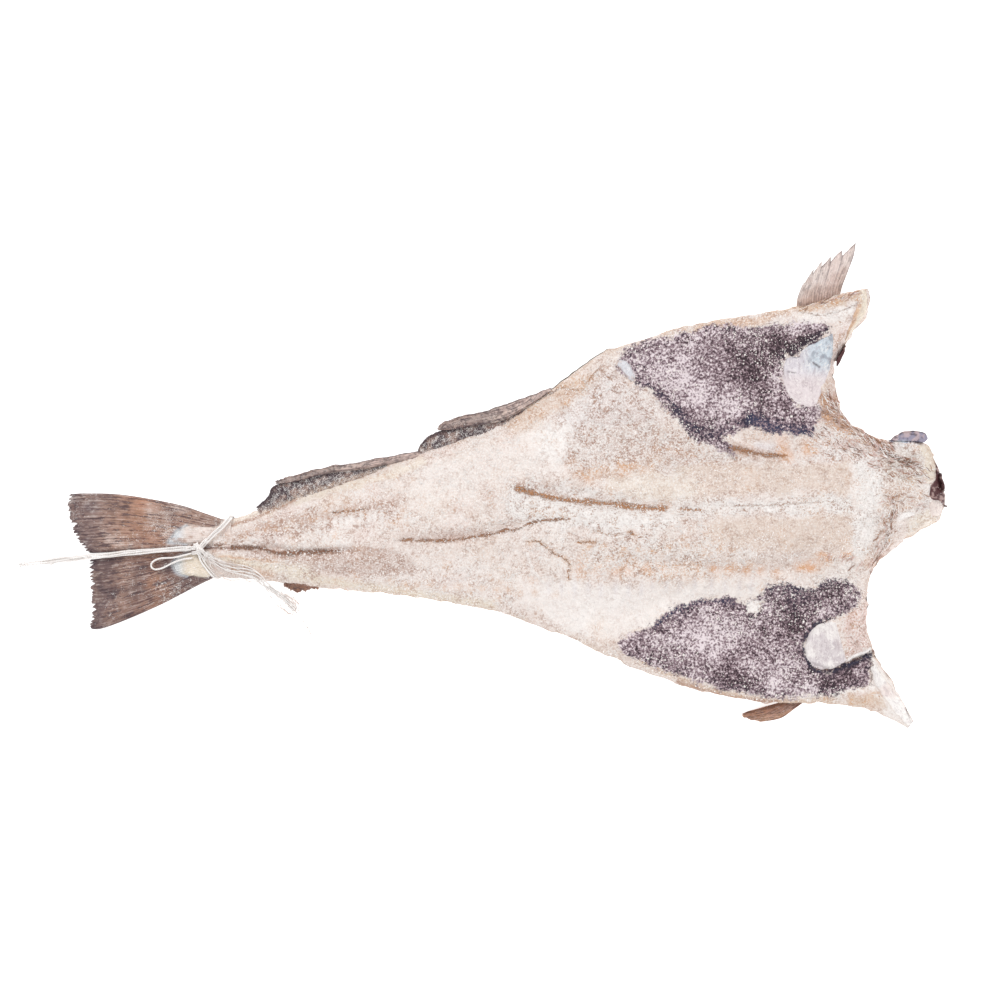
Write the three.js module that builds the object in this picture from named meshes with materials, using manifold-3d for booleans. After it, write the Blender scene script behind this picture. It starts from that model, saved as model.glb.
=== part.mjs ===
// Salted dried cod: a whole cod without its head, split along the belly, opened out flat and
// dried, with its flesh side up and a length of cotton twine tied round the tail.
// Millimetres, +Z up. The tail points to -X and the nape to +X, and the table is at z = 0.

import * as THREE from 'three';
import { mergeVertices } from 'three/addons/utils/BufferGeometryUtils.js';
import Module from 'manifold-3d';

const wasm = await Module();
wasm.setup();

const { clamp, lerp, smoothstep } = THREE.MathUtils;

// ---------------------------------------------------------------- driving dimensions

// The split body seen from above: [x, y] along its two long edges and its backbone line.
const UPPER_EDGE = [
  [-205, -26], [-170, -18], [-130, -4], [-74, 17], [-4, 42], [31, 66],
  [66, 91], [94, 101], [136, 113], [206, 125], [252, 137],
];
const LOWER_EDGE = [
  [-205, -64], [-130, -72], [-39, -82], [-4, -90], [31, -102], [66, -117],
  [94, -130], [136, -144], [178, -152], [231, -153], [256, -158], [282, -171],
];
const BACKBONE = [
  [-205, -44], [-102, -46], [-60, -38], [-10, -30], [40, -18], [110, -16],
  [180, -17], [250, -12], [308, -14],
];
// The head end, cut behind the head: the nape stub stands out between the two collar notches.
const UPPER_NECK = [
  [308, -14], [305, 0], [300, 18], [294, 29], [267, 31], [247, 40],
  [236, 52], [231, 70], [232, 88], [242, 104], [253, 120], [252, 137],
];
const LOWER_NECK = [
  [308, -14], [303, -25], [288, -34], [276, -42], [266, -51], [257, -62],
  [254, -78], [254, -97], [257, -115], [266, -132], [277, -150], [282, -171],
];
const NECK_PULL = 3; // how sharply the notches bend the rows of flesh behind them

// Depth of the flesh over the underside, [x, depth], and how far the thick loins reach from
// the backbone line before the thin belly flaps begin, [x, distance].
const LOIN_DEPTH = [
  [-205, 8], [-170, 13], [-75, 19], [0, 23], [80, 27], [180, 30], [240, 27], [308, 15],
];
const FLAP_DEPTH = [[-205, 4], [-75, 5], [0, 6], [100, 7], [250, 8], [308, 8]];
const UPPER_LOIN_REACH = [
  [-205, 19], [-130, 44], [-74, 62], [0, 76], [60, 78], [110, 64], [180, 58], [308, 80],
];
const LOWER_LOIN_REACH = [
  [-205, 20], [-130, 28], [-74, 44], [0, 66], [60, 80], [110, 72], [180, 66], [308, 60],
];
const LOIN_CROWN = 1.3; // above 1, the loins fall off sooner from their crown

// Lift of the long edges off the table, [x, lift], and of the tail stock and the nape.
const EDGE_LIFT = [[-205, 2], [-60, 2], [40, 4], [130, 6], [220, 9], [282, 15]];
const FLAP_START = 0.5; // share of the way from the backbone line to the edge where the lift begins
const FLAP_WAVE = { height: 1.5, length: 17, from: 20, full: 90 };
const TAIL_LIFT = 5;
const TAIL_LIFT_LENGTH = 80;
const NAPE_LIFT = 3;
const NAPE_LIFT_ENDS = [262, 300];

// Grooves and hollows in the flesh: the line each follows, where it fades, depth and half width.
const MAIN_GROOVE = {
  line: [[0, -3], [28, -5], [66, -12], [110, -16], [180, -17], [250, -11]],
  ends: [8, 240],
  depth: 7,
  width: 6,
};
const LOWER_CREASE = {
  line: [[-73, -38], [-30, -36], [24, -26], [60, -22]],
  ends: [-70, 42],
  depth: 4,
  width: 5,
};
const TAIL_SEAM = {
  line: [[-205, -44], [-170, -45], [-135, -48], [-102, -46]],
  ends: [-200, -95],
  depth: 3,
  width: 4,
};
const UPPER_HOLLOW = {
  line: [[40, 3], [73, 12], [115, 23], [150, 34]],
  ends: [50, 140],
  depth: 4,
  width: 9,
};
const LOWER_HOLLOW = {
  line: [[60, -52], [110, -56], [180, -60], [240, -52]],
  ends: [70, 225],
  depth: 3,
  width: 7,
};
const GROOVE_FADE = 20; // length over which a groove runs out at each end

// Bony rim along the two outer parts of the head end, beyond a distance from the backbone line.
const COLLAR = { ridge: 5, width: 9, from: 50, full: 75 };
// How an edge rounds off: over what distance, how much thinner, and how far up from below.
const RIM = { round: 5, thinning: 0.45, lift: 1.2 };

// Tail fin, from its rear edge to the root inside the tail stock.
const TAIL_FIN_UPPER = [[-307, -8], [-280, -7], [-252, -10], [-225, -15], [-192, -26]];
const TAIL_FIN_LOWER = [[-287, -102], [-262, -94], [-245, -86], [-228, -78], [-192, -60]];
const TAIL_FIN_REAR = [
  [-287, -102], [-292, -93], [-290, -78], [-291, -62], [-293, -50],
  [-301, -37], [-307, -24], [-308, -15], [-307, -8],
];
const TAIL_FIN_RAYS = 14;
const TAIL_RAY_HEIGHT = 0.5;
const TAIL_FIN_THICKNESS = 1.8;
const TAIL_ROOT_THICKNESS = 7;
const TAIL_FIN_HEIGHT = 3.4; // middle height at the rear edge
const TAIL_ROOT_HEIGHT = TAIL_LIFT + 4.4;
const TAIL_LOBE_CURL = 3; // how far the tips of the two lobes curl up
const TAIL_COMB = 1.3; // half depth of the notches torn in the lower lobe's rear edge

// Dorsal fins, pressed flat against the upper edge: outer edge as [x, y].
const REAR_DORSAL = [[-175, -18], [-165, -5], [-160, 2], [-135, 11], [-98, 16.5], [-63, 23.5]];
const MIDDLE_DORSAL = [[-64, 21], [-56, 33], [-46, 42], [-19, 51], [14, 62], [31, 67.5]];
const ANAL_FIN = [[-156, -67], [-152, -73], [-143, -75], [-130, -71]];
const EDGE_FIN_THICKNESS = 2.6;
const EDGE_FIN_OVERLAP = 7;
const EDGE_FIN_HEIGHT = 2.6; // middle height over the underside, inside the flesh
const EDGE_FIN_DROOP = 1.2; // how much lower the outer edge is
const EDGE_FIN_FOLD = 0.5;
const EDGE_FIN_TAPER = 0.3; // share of the thickness lost at the outer edge

// Pectoral fins, under the collar: root and tip edges as [x, y].
const UPPER_PECTORAL = {
  rear: [[206, 118], [204, 131], [210, 143], [221, 156], [238, 165]],
  front: [[234, 120], [234, 134], [238, 148], [243, 160], [246, 171]],
  rootHeight: 10,
  tipHeight: 4,
};
const LOWER_PECTORAL = {
  rear: [[212, -140], [190, -147], [176, -153], [165, -160]],
  front: [[216, -147], [206, -156], [195, -163], [180, -167]],
  rootHeight: 8,
  tipHeight: 2.5,
};
const PECTORAL_THICKNESS = 1.8;
const PECTORAL_RAY_HEIGHT = 0.35;

// Twine: the tie round the tail stock, its knot, and three loose stretches that leave the knot.
const TIE_WIDTH = 4.2;
const TIE_THICKNESS = 1.8;
const TIE = [
  [-213, -44, 13.7], [-208, -38, 14], [-203, -32.5, 14.6], [-198, -27.5, 14.8], [-194, -22.4, 13.6],
  [-192, -19.8, 9], [-191.6, -21.4, 4.6], [-192, -28, 2.7], [-194.5, -44, 2.6], [-198, -58, 2.7],
  [-200, -65.9, 4.6], [-202, -68.1, 9], [-204.5, -66.2, 13.6], [-208, -61.5, 14.6], [-211.5, -56, 14.3],
  [-213.5, -50.5, 13.9],
];
const TIE_CORE = { y: -44, z: 8.5 }; // line inside the tail stock that the tie goes round
const TIE_RINGS = 32;
const KNOT = { place: [-213.5, -44, 14.6], radius: 2.4, strand: 0.95, along: 30, around: 6 };
const TWINE_SIDES = 8;
const STEP_IN_DIAMETERS = 2.4;
const LONG_END_DIAMETER = 3.6;
const LONG_END = [
  [-219.8, -44.6, 13.5], [-226, -45, 13], [-232, -45.3, 12.3], [-239, -45.8, 11.4], [-246, -46.4, 10.5],
  [-253, -47, 9.7], [-260, -47.6, 9], [-267, -48.2, 8.4], [-274, -49, 8], [-281, -49.8, 7.7],
  [-288, -50.4, 7.4], [-294, -51, 6.8], [-300, -51.8, 5.1], [-307, -52.4, 3.3], [-315, -53.2, 2.3],
  [-324, -54.4, 2.1], [-333, -55.4, 2.1], [-342, -56.2, 2.1],
];
const SHORT_END_DIAMETER = 3;
const SHORT_END = [
  [-208.6, -48, 14], [-205, -51.4, 14.4], [-201, -54.2, 14.9], [-197, -56.4, 15.2], [-192, -58.2, 14.9],
  [-187, -59.3, 14.2], [-182, -60.4, 13.7], [-177, -62.3, 12.9], [-172.5, -65.4, 11.4],
  [-168.5, -69.4, 8.8], [-164.5, -73, 5.4], [-160, -76.3, 3], [-155.5, -80, 2], [-151.5, -84, 1.8],
  [-148, -88, 1.8],
];
const LOOP_DIAMETER = 1.6;
const LOOP = [
  [-219, -47.9, 12.6], [-222.5, -48.9, 12.4], [-226, -49.7, 12.1], [-229.5, -50.6, 11.7],
  [-233, -51.2, 11.3], [-237, -51.4, 10.9], [-240.8, -51.6, 10.5], [-244.8, -52.8, 10],
  [-247.6, -55, 9.8], [-247.8, -57.8, 9.8], [-245.4, -59.4, 10], [-241.4, -58.9, 10.3],
  [-237.5, -57.3, 10.7], [-233.5, -55.2, 11.2], [-229, -53.3, 11.7], [-224, -52, 12.3],
  [-218.8, -51.4, 12.7],
];

// Grid steps along and across each piece.
const BODY_STEPS = [64, 44];
const TAIL_FIN_STEPS = [9, TAIL_FIN_RAYS * 2];
const EDGE_FIN_STEPS = [18, 2];
const PECTORAL_STEPS = [8, 6];

// ---------------------------------------------------------------- curves and solids

// A smooth function through [x, y] pairs; each slope comes from the pair's neighbours.
function through(pairs) {
  const last = pairs.length - 1;
  const slopes = pairs.map((pair, i) => {
    const before = pairs[Math.max(i - 1, 0)];
    const after = pairs[Math.min(i + 1, last)];
    return (after[1] - before[1]) / (after[0] - before[0]);
  });
  return (x) => {
    let i = 0;
    while (i < last - 1 && x > pairs[i + 1][0]) i += 1;
    const span = pairs[i + 1][0] - pairs[i][0];
    const t = clamp((x - pairs[i][0]) / span, 0, 1);
    const s = t * t * (3 - 2 * t);
    const value = lerp(pairs[i][1], pairs[i + 1][1], s);
    const bend = t * (1 - t) * span;
    return value + bend * ((1 - t) * slopes[i] - t * slopes[i + 1]);
  };
}

// A smooth curve through [x, y] points, asked for by a number from 0 to 1.
function curveThrough(points) {
  const curve = new THREE.SplineCurve(points.map(([x, y]) => new THREE.Vector2(x, y)));
  return (t) => curve.getPoint(t);
}

// A bell of height 1 at distance 0.
function bell(distance, width) {
  return Math.exp(-((distance / width) ** 2));
}

// A closed sheet: a grid on top, a grid below with 1/coarse of its steps, and a wall between
// their rims. place(u, v, side) gives [x, y, z] above (side 1) and below (side -1).
function sheetSolid([long, wide], coarse, place) {
  const positions = [];
  const faces = [];
  const addGrid = (stepsLong, stepsWide, side) => {
    const first = positions.length / 3;
    const at = (i, j) => first + i * (stepsWide + 1) + j;
    for (let i = 0; i <= stepsLong; i += 1) {
      for (let j = 0; j <= stepsWide; j += 1) {
        positions.push(...place(i / stepsLong, j / stepsWide, side));
      }
    }
    for (let i = 0; i < stepsLong; i += 1) {
      for (let j = 0; j < stepsWide; j += 1) {
        const [a, b, c, d] = [at(i, j), at(i + 1, j), at(i + 1, j + 1), at(i, j + 1)];
        if (side > 0) faces.push(a, b, c, a, c, d);
        else faces.push(a, c, b, a, d, c);
      }
    }
    const rim = [];
    for (let i = 0; i < stepsLong; i += 1) rim.push(at(i, 0));
    for (let j = 0; j < stepsWide; j += 1) rim.push(at(stepsLong, j));
    for (let i = stepsLong; i > 0; i -= 1) rim.push(at(i, stepsWide));
    for (let j = stepsWide; j > 0; j -= 1) rim.push(at(0, j));
    return rim;
  };
  const above = addGrid(long, wide, 1);
  const below = addGrid(long / coarse, wide / coarse, -1);
  for (let k = 0; k < below.length; k += 1) {
    const near = below[k];
    const far = below[(k + 1) % below.length];
    const turn = Math.ceil(coarse / 2);
    for (let s = 0; s < coarse; s += 1) {
      const start = above[k * coarse + s];
      const end = above[(k * coarse + s + 1) % above.length];
      faces.push(s < turn ? near : far, end, start);
      if (s === turn - 1) faces.push(near, far, end);
    }
  }
  return { positions, faces };
}

function toManifold({ positions, faces }) {
  const vertProperties = new Float32Array(positions);
  const triVerts = new Uint32Array(faces);
  return new wasm.Manifold(new wasm.Mesh({ numProp: 3, vertProperties, triVerts }));
}

function toGeometry({ positions, faces }) {
  const geometry = new THREE.BufferGeometry();
  geometry.setAttribute('position', new THREE.Float32BufferAttribute(positions, 3));
  geometry.setIndex(faces);
  geometry.computeVertexNormals();
  return geometry;
}

function fuse(sheets) {
  const [first, ...others] = sheets.map(toManifold);
  const { vertProperties, triVerts } = others.reduce((all, next) => all.add(next), first).getMesh();
  return toGeometry({ positions: Array.from(vertProperties), faces: Array.from(triVerts) });
}

// ---------------------------------------------------------------- the split body

const upperEdge = through(UPPER_EDGE);
const lowerEdge = through(LOWER_EDGE);
const backbone = through(BACKBONE);
const upperNeck = curveThrough(UPPER_NECK);
const lowerNeck = curveThrough(LOWER_NECK);
const loinDepth = through(LOIN_DEPTH);
const flapDepth = through(FLAP_DEPTH);
const upperLoinReach = through(UPPER_LOIN_REACH);
const lowerLoinReach = through(LOWER_LOIN_REACH);
const edgeLift = through(EDGE_LIFT);
const grooves = [MAIN_GROOVE, LOWER_CREASE, TAIL_SEAM, UPPER_HOLLOW, LOWER_HOLLOW].map(
  (groove) => ({ ...groove, course: through(groove.line) }),
);

const TAIL_ROOT_X = UPPER_EDGE[0][0];

// How far a point lies from the backbone line towards its edge: 0 on the line, 1 at the edge.
function outwards(x, y) {
  const middle = backbone(x);
  const edge = y > middle ? upperEdge(x) : lowerEdge(x);
  return clamp((y - middle) / (edge - middle), 0, 1);
}

function fleshDepth(x, y) {
  const offset = y - backbone(x);
  const reach = offset > 0 ? upperLoinReach(x) : lowerLoinReach(x);
  const swell = (1 - Math.min(Math.abs(offset) / reach, 1) ** 2) ** LOIN_CROWN;
  return lerp(flapDepth(x), loinDepth(x), swell);
}

function grooveDepth(x, y) {
  return grooves.reduce((sum, { course, ends: [from, to], depth, width }) => {
    const fade = smoothstep(x, from, from + GROOVE_FADE) * (1 - smoothstep(x, to - GROOVE_FADE, to));
    return sum + depth * fade * bell(y - course(x), width);
  }, 0);
}

function underside(x, y) {
  const flap = smoothstep(outwards(x, y), FLAP_START, 1);
  const { height, length, from, full } = FLAP_WAVE;
  const wave = height * smoothstep(x, from, full) * (1 + Math.sin(x / length));
  const tail = TAIL_LIFT * (1 - smoothstep(x, TAIL_ROOT_X, TAIL_ROOT_X + TAIL_LIFT_LENGTH));
  const nape = NAPE_LIFT * smoothstep(x, ...NAPE_LIFT_ENDS);
  return flap * (edgeLift(x) + wave) + tail + nape;
}

// How close a point is to an edge or to the head end: 1 on it, 0 well inside.
function rimNearness(toEdge, toNeck) {
  return Math.max(bell(toEdge, RIM.round), bell(toNeck, RIM.round));
}

function fleshTop(x, y, toEdge, toNeck) {
  const thin = 1 - RIM.thinning * rimNearness(toEdge, toNeck);
  const outer = smoothstep(Math.abs(y - backbone(x)), COLLAR.from, COLLAR.full);
  const collar = COLLAR.ridge * outer * bell(toNeck - COLLAR.width, COLLAR.width);
  return underside(x, y) + (fleshDepth(x, y) - grooveDepth(x, y)) * thin + collar;
}

// Place in the sheet: u from the tail root to the neck, v from the lower edge to the upper.
function bodyPoint(u, v) {
  const upper = v > 0.5;
  const q = Math.abs(2 * v - 1);
  const [line, neck] = upper ? [upperEdge, upperNeck] : [lowerEdge, lowerNeck];
  const corner = neck(1);
  const nape = neck(0);
  const edgeX = lerp(TAIL_ROOT_X, corner.x, u);
  const middleX = lerp(TAIL_ROOT_X, nape.x, u);
  const cut = neck(q);
  const pull = u ** NECK_PULL;
  const x = lerp(middleX, edgeX, q) + pull * (cut.x - lerp(nape.x, corner.x, q));
  const y = lerp(backbone(middleX), line(edgeX), q) + pull * (cut.y - lerp(nape.y, corner.y, q));
  const width = Math.abs(line(edgeX) - backbone(middleX));
  return { x, y, toEdge: (1 - q) * width, toNeck: (1 - u) * (cut.x - TAIL_ROOT_X) };
}

function bodySheet() {
  return sheetSolid(BODY_STEPS, 2, (u, v, side) => {
    const { x, y, toEdge, toNeck } = bodyPoint(u, v);
    if (side > 0) return [x, y, fleshTop(x, y, toEdge, toNeck)];
    return [x, y, underside(x, y) + RIM.lift * rimNearness(toEdge, toNeck)];
  });
}

// ---------------------------------------------------------------- the fins

// A surface patch between four curves that share their corners: Coons' bilinear blend.
function patch(rear, front, lower, upper) {
  return (u, v) => {
    const across = rear(v).lerp(front(v), u);
    const along = lower(u).lerp(upper(u), v);
    const corners = rear(0).lerp(front(0), u).lerp(rear(1).lerp(front(1), u), v);
    return across.add(along).sub(corners);
  };
}

function straight(from, to) {
  return (t) => new THREE.Vector2(...from).lerp(new THREE.Vector2(...to), t);
}

const tailFinPatch = patch(
  curveThrough(TAIL_FIN_REAR),
  straight(TAIL_FIN_LOWER.at(-1), TAIL_FIN_UPPER.at(-1)),
  curveThrough(TAIL_FIN_LOWER),
  curveThrough(TAIL_FIN_UPPER),
);

// Middle height of the tail fin: it drops from the tail stock to near the table, and its two
// lobes curl up a little.
function tailFinMiddle(u, v) {
  return lerp(TAIL_FIN_HEIGHT, TAIL_ROOT_HEIGHT, u) + TAIL_LOBE_CURL * (1 - u) * (2 * v - 1) ** 2;
}

function tailFinSheet() {
  return sheetSolid(TAIL_FIN_STEPS, 1, (u, v, side) => {
    const { x, y } = tailFinPatch(u, v);
    const rootThickness = TAIL_ROOT_THICKNESS * (1 - (2 * v - 1) ** 8 / 2);
    const thickness = lerp(TAIL_FIN_THICKNESS, rootThickness, u ** 2);
    const ray = Math.cos(2 * Math.PI * TAIL_FIN_RAYS * v);
    const torn = u === 0 ? TAIL_COMB * (1 - ray) * (1 - v) : 0;
    const z = tailFinMiddle(u, v) + side * thickness / 2 + TAIL_RAY_HEIGHT * ray * (1 - u ** 3);
    return [x + torn, y, z];
  });
}

// A fin pressed along a body edge, from inside the flesh out to its own edge.
function edgeFinSheet(outline, edge, side) {
  const outer = through(outline);
  const [from, to] = [outline[0][0], outline.at(-1)[0]];
  return sheetSolid(EDGE_FIN_STEPS, 1, (u, v, face) => {
    const x = lerp(from, to, u);
    const inner = edge(x) - side * EDGE_FIN_OVERLAP;
    const share = side > 0 ? v : 1 - v;
    const y = lerp(inner, outer(x), share);
    const fold = EDGE_FIN_FOLD * Math.cos(Math.PI * u * EDGE_FIN_STEPS[0]);
    const middle = underside(x, edge(x)) + EDGE_FIN_HEIGHT + (fold - EDGE_FIN_DROOP) * share;
    return [x, y, middle + face * EDGE_FIN_THICKNESS * (1 - EDGE_FIN_TAPER * share) / 2];
  });
}

// A pectoral fin as a fan of rays between its rear and front edges.
function pectoralSheet({ rear, front, rootHeight, tipHeight }, mirrored) {
  const edges = [curveThrough(rear), curveThrough(front)];
  return sheetSolid(PECTORAL_STEPS, 1, (u, v, face) => {
    const share = mirrored ? 1 - v : v;
    const { x, y } = edges[0](u).lerp(edges[1](u), share);
    const ray = PECTORAL_RAY_HEIGHT * Math.cos(Math.PI * PECTORAL_STEPS[1] * v);
    return [x, y, lerp(rootHeight, tipHeight, u) + ray + face * PECTORAL_THICKNESS / 2];
  });
}

// ---------------------------------------------------------------- the twine

const toVectors = (points) => points.map((point) => new THREE.Vector3(...point));

// A flat band that closes on itself round the tail stock.
function bandSheet() {
  const course = new THREE.CatmullRomCurve3(toVectors(TIE), true);
  const positions = [];
  const faces = [];
  const at = (i, j) => (i % TIE_RINGS) * TWINE_SIDES + (j % TWINE_SIDES);
  for (let i = 0; i < TIE_RINGS; i += 1) {
    const point = course.getPointAt(i / TIE_RINGS);
    const ahead = course.getTangentAt(i / TIE_RINGS);
    const out = new THREE.Vector3(0, point.y - TIE_CORE.y, point.z - TIE_CORE.z);
    out.addScaledVector(ahead, -out.dot(ahead)).normalize();
    const side = new THREE.Vector3().crossVectors(ahead, out);
    for (let j = 0; j < TWINE_SIDES; j += 1) {
      const angle = (2 * Math.PI * j) / TWINE_SIDES;
      const corner = point.clone();
      corner.addScaledVector(out, (Math.cos(angle) * TIE_THICKNESS) / 2);
      corner.addScaledVector(side, (Math.sin(angle) * TIE_WIDTH) / 2);
      positions.push(...corner.toArray());
      faces.push(at(i, j), at(i, j + 1), at(i + 1, j + 1), at(i, j), at(i + 1, j + 1), at(i + 1, j));
    }
  }
  return { positions, faces };
}

function knotSheet() {
  const { place, radius, strand, along, around } = KNOT;
  const knot = new THREE.TorusKnotGeometry(radius, strand, along, around);
  knot.deleteAttribute('normal');
  knot.deleteAttribute('uv');
  const merged = mergeVertices(knot).translate(...place);
  return { positions: Array.from(merged.attributes.position.array), faces: Array.from(merged.index.array) };
}

// A loose stretch of twine along its route.
function strandGeometry(route, diameter) {
  const course = new THREE.CatmullRomCurve3(toVectors(route));
  const section = new THREE.Shape();
  for (let k = 0; k < TWINE_SIDES; k += 1) {
    const angle = (2 * Math.PI * k) / TWINE_SIDES;
    const corner = [(Math.cos(angle) * diameter) / 2, (Math.sin(angle) * diameter) / 2];
    if (k === 0) section.moveTo(...corner);
    else section.lineTo(...corner);
  }
  const steps = Math.ceil(course.getLength() / (STEP_IN_DIAMETERS * diameter));
  return new THREE.ExtrudeGeometry(section, { steps, extrudePath: course, bevelEnabled: false });
}

// ---------------------------------------------------------------- the whole part

function piece(name, geometry, material) {
  const mesh = new THREE.Mesh(geometry, material);
  mesh.name = name;
  return mesh;
}

const driedFish = new THREE.MeshStandardMaterial({ color: 0xe6d9cf, roughness: 0.85, metalness: 0 });
const cottonTwine = new THREE.MeshStandardMaterial({ color: 0xf0e8de, roughness: 0.95, metalness: 0 });

const fish = new THREE.Group();
fish.add(
  piece('cod', fuse([
    bodySheet(),
    tailFinSheet(),
    edgeFinSheet(REAR_DORSAL, upperEdge, 1),
    edgeFinSheet(MIDDLE_DORSAL, upperEdge, 1),
    edgeFinSheet(ANAL_FIN, lowerEdge, -1),
    pectoralSheet(UPPER_PECTORAL, true),
    pectoralSheet(LOWER_PECTORAL, false),
  ]), driedFish),
  piece('twine_tie', fuse([bandSheet(), knotSheet()]), cottonTwine),
  piece('twine_long_end', strandGeometry(LONG_END, LONG_END_DIAMETER), cottonTwine),
  piece('twine_loop', strandGeometry(LOOP, LOOP_DIAMETER), cottonTwine),
  piece('twine_short_end', strandGeometry(SHORT_END, SHORT_END_DIAMETER), cottonTwine),
);

export default fish;
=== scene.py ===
"""Salted dried cod, split and opened out flat, with twine tied round its tail, as a Blender add-on.

Each operator in the sidebar panel "Dried Cod" models one piece or one group of like pieces round the
frame. Metres, +Z up. The tail points to -X and the nape to +X, and the table is at z = 0. The tables of
courses and outlines are in millimetres.
"""

from math import pi

import bpy
import numpy as np
from bpy.props import FloatProperty, FloatVectorProperty, IntProperty, PointerProperty
from mathutils.bvhtree import BVHTree
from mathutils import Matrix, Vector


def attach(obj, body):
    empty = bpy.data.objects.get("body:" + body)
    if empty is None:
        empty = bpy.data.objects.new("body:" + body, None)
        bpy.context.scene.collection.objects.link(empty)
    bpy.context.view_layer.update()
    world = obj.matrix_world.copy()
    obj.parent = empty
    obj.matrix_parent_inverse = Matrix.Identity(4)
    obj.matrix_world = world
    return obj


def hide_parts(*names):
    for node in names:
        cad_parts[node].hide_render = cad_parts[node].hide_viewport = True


bl_info = {
    "name": "Salted Dried Cod",
    "version": (1, 0, 0),
    "blender": (4, 5, 0),
    "location": "View3D > Sidebar > Dried Cod",
    "description": "Models a split, salted and dried cod with twine tied round its tail",
    "category": "Mesh",
}

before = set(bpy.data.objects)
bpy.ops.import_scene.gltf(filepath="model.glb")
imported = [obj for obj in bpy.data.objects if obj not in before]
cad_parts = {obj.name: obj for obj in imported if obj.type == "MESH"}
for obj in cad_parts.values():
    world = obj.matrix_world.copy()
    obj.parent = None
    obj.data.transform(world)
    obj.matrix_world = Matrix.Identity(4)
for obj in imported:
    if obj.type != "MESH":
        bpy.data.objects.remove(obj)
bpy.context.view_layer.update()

BODY = "root"
MM = 0.001
TINY = 1e-9
# Distances kept on the mesh for the shader are in centimetres.
CM = 100


def mm(places):
    """Places or sizes given in millimetres, as metres."""
    return np.array(places, float) * MM


# ---- the split body, seen from above

UPPER_EDGE = mm([
    (-205, -26), (-170, -18), (-130, -4), (-74, 17), (-4, 42), (31, 66), (66, 91), (94, 101), (136, 113),
    (206, 125), (252, 137),
])
LOWER_EDGE = mm([
    (-205, -64), (-130, -72), (-39, -82), (-4, -90), (31, -102), (66, -117), (94, -130), (136, -144),
    (178, -152), (231, -153), (256, -158), (282, -171),
])
BACKBONE = mm([
    (-205, -44), (-102, -46), (-60, -38), (-10, -30), (40, -18), (110, -16), (180, -17), (250, -12),
    (308, -14),
])
UPPER_NECK = mm([
    (308, -14), (305, 0), (300, 18), (294, 29), (267, 31), (247, 40), (236, 52), (231, 70), (232, 88),
    (242, 104), (253, 120), (252, 137),
])
LOWER_NECK = mm([
    (308, -14), (303, -25), (288, -34), (276, -42), (266, -51), (257, -62), (254, -78), (254, -97),
    (257, -115), (266, -132), (277, -150), (282, -171),
])
NECK_PULL = 3

# Depth of the flesh, reach of the thick loins from the backbone, and lift of the edges: (x, size).
LOIN_DEPTH = mm([(-205, 8), (-170, 13), (-75, 19), (0, 23), (80, 27), (180, 30), (240, 27), (308, 15)])
FLAP_DEPTH = mm([(-205, 4), (-75, 5), (0, 6), (100, 7), (250, 8), (308, 8)])
UPPER_LOIN_REACH = mm([
    (-205, 19), (-130, 44), (-74, 62), (0, 76), (60, 78), (110, 64), (180, 58), (308, 80),
])
LOWER_LOIN_REACH = mm([
    (-205, 20), (-130, 28), (-74, 44), (0, 66), (60, 80), (110, 72), (180, 66), (308, 60),
])
EDGE_LIFT = mm([(-205, 2), (-60, 2), (40, 4), (130, 6), (220, 9), (282, 15)])
TAIL_LIFT = 0.005
NAPE_LIFT = 0.003
COLLAR_RIDGE = 0.005
COLLAR_WIDTH = 0.009
RIM_ROUND = 0.005
RIM_DEPTH = 0.55
FLAP_WAVE = 0.0015

# Long grooves of the main form: course, where it fades at both ends, depth and half width.
GROOVES = [
    ([(0, -3), (28, -5), (66, -12), (110, -16), (180, -17), (250, -11)], (8, 240), 4.5, 6),
    ([(-73, -38), (-30, -36), (24, -26), (60, -22)], (-70, 42), 3, 5),
    ([(-205, -44), (-170, -45), (-135, -48), (-102, -46)], (-200, -95), 3, 4),
    ([(40, 3), (73, 12), (115, 23), (150, 34)], (50, 140), 4, 9),
    ([(60, -52), (110, -56), (180, -60), (240, -52)], (70, 225), 3, 7),
]
GROOVE_FADE = 0.02

# Cracks that also have a cut or a coloured line of their own.
SIDE_CRACK = [
    (-73, -39), (-56, -39), (-39, -39), (-25, -37), (-11, -35), (0, -32), (6, -32), (18, -27), (30, -24.5),
    (43, -24),
]
TAIL_CRACK = [
    (-210, -43.4), (-200, -43.8), (-172, -44.4), (-159, -48), (-147, -48), (-130, -47), (-116, -46.5),
]
HOOKED_CRACK = [(15, -40), (23, -39.5), (28, -43.5), (35, -49), (41, -51), (45, -56), (44, -66)]
UPPER_CRACK = [(156, 25.5), (170, 23), (181, 20.6), (193, 19.6)]
SHORT_CRACK = [(51, -40), (63, -40)]
SMALL_CRACK = [(86, -33), (93, -36.5)]

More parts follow.
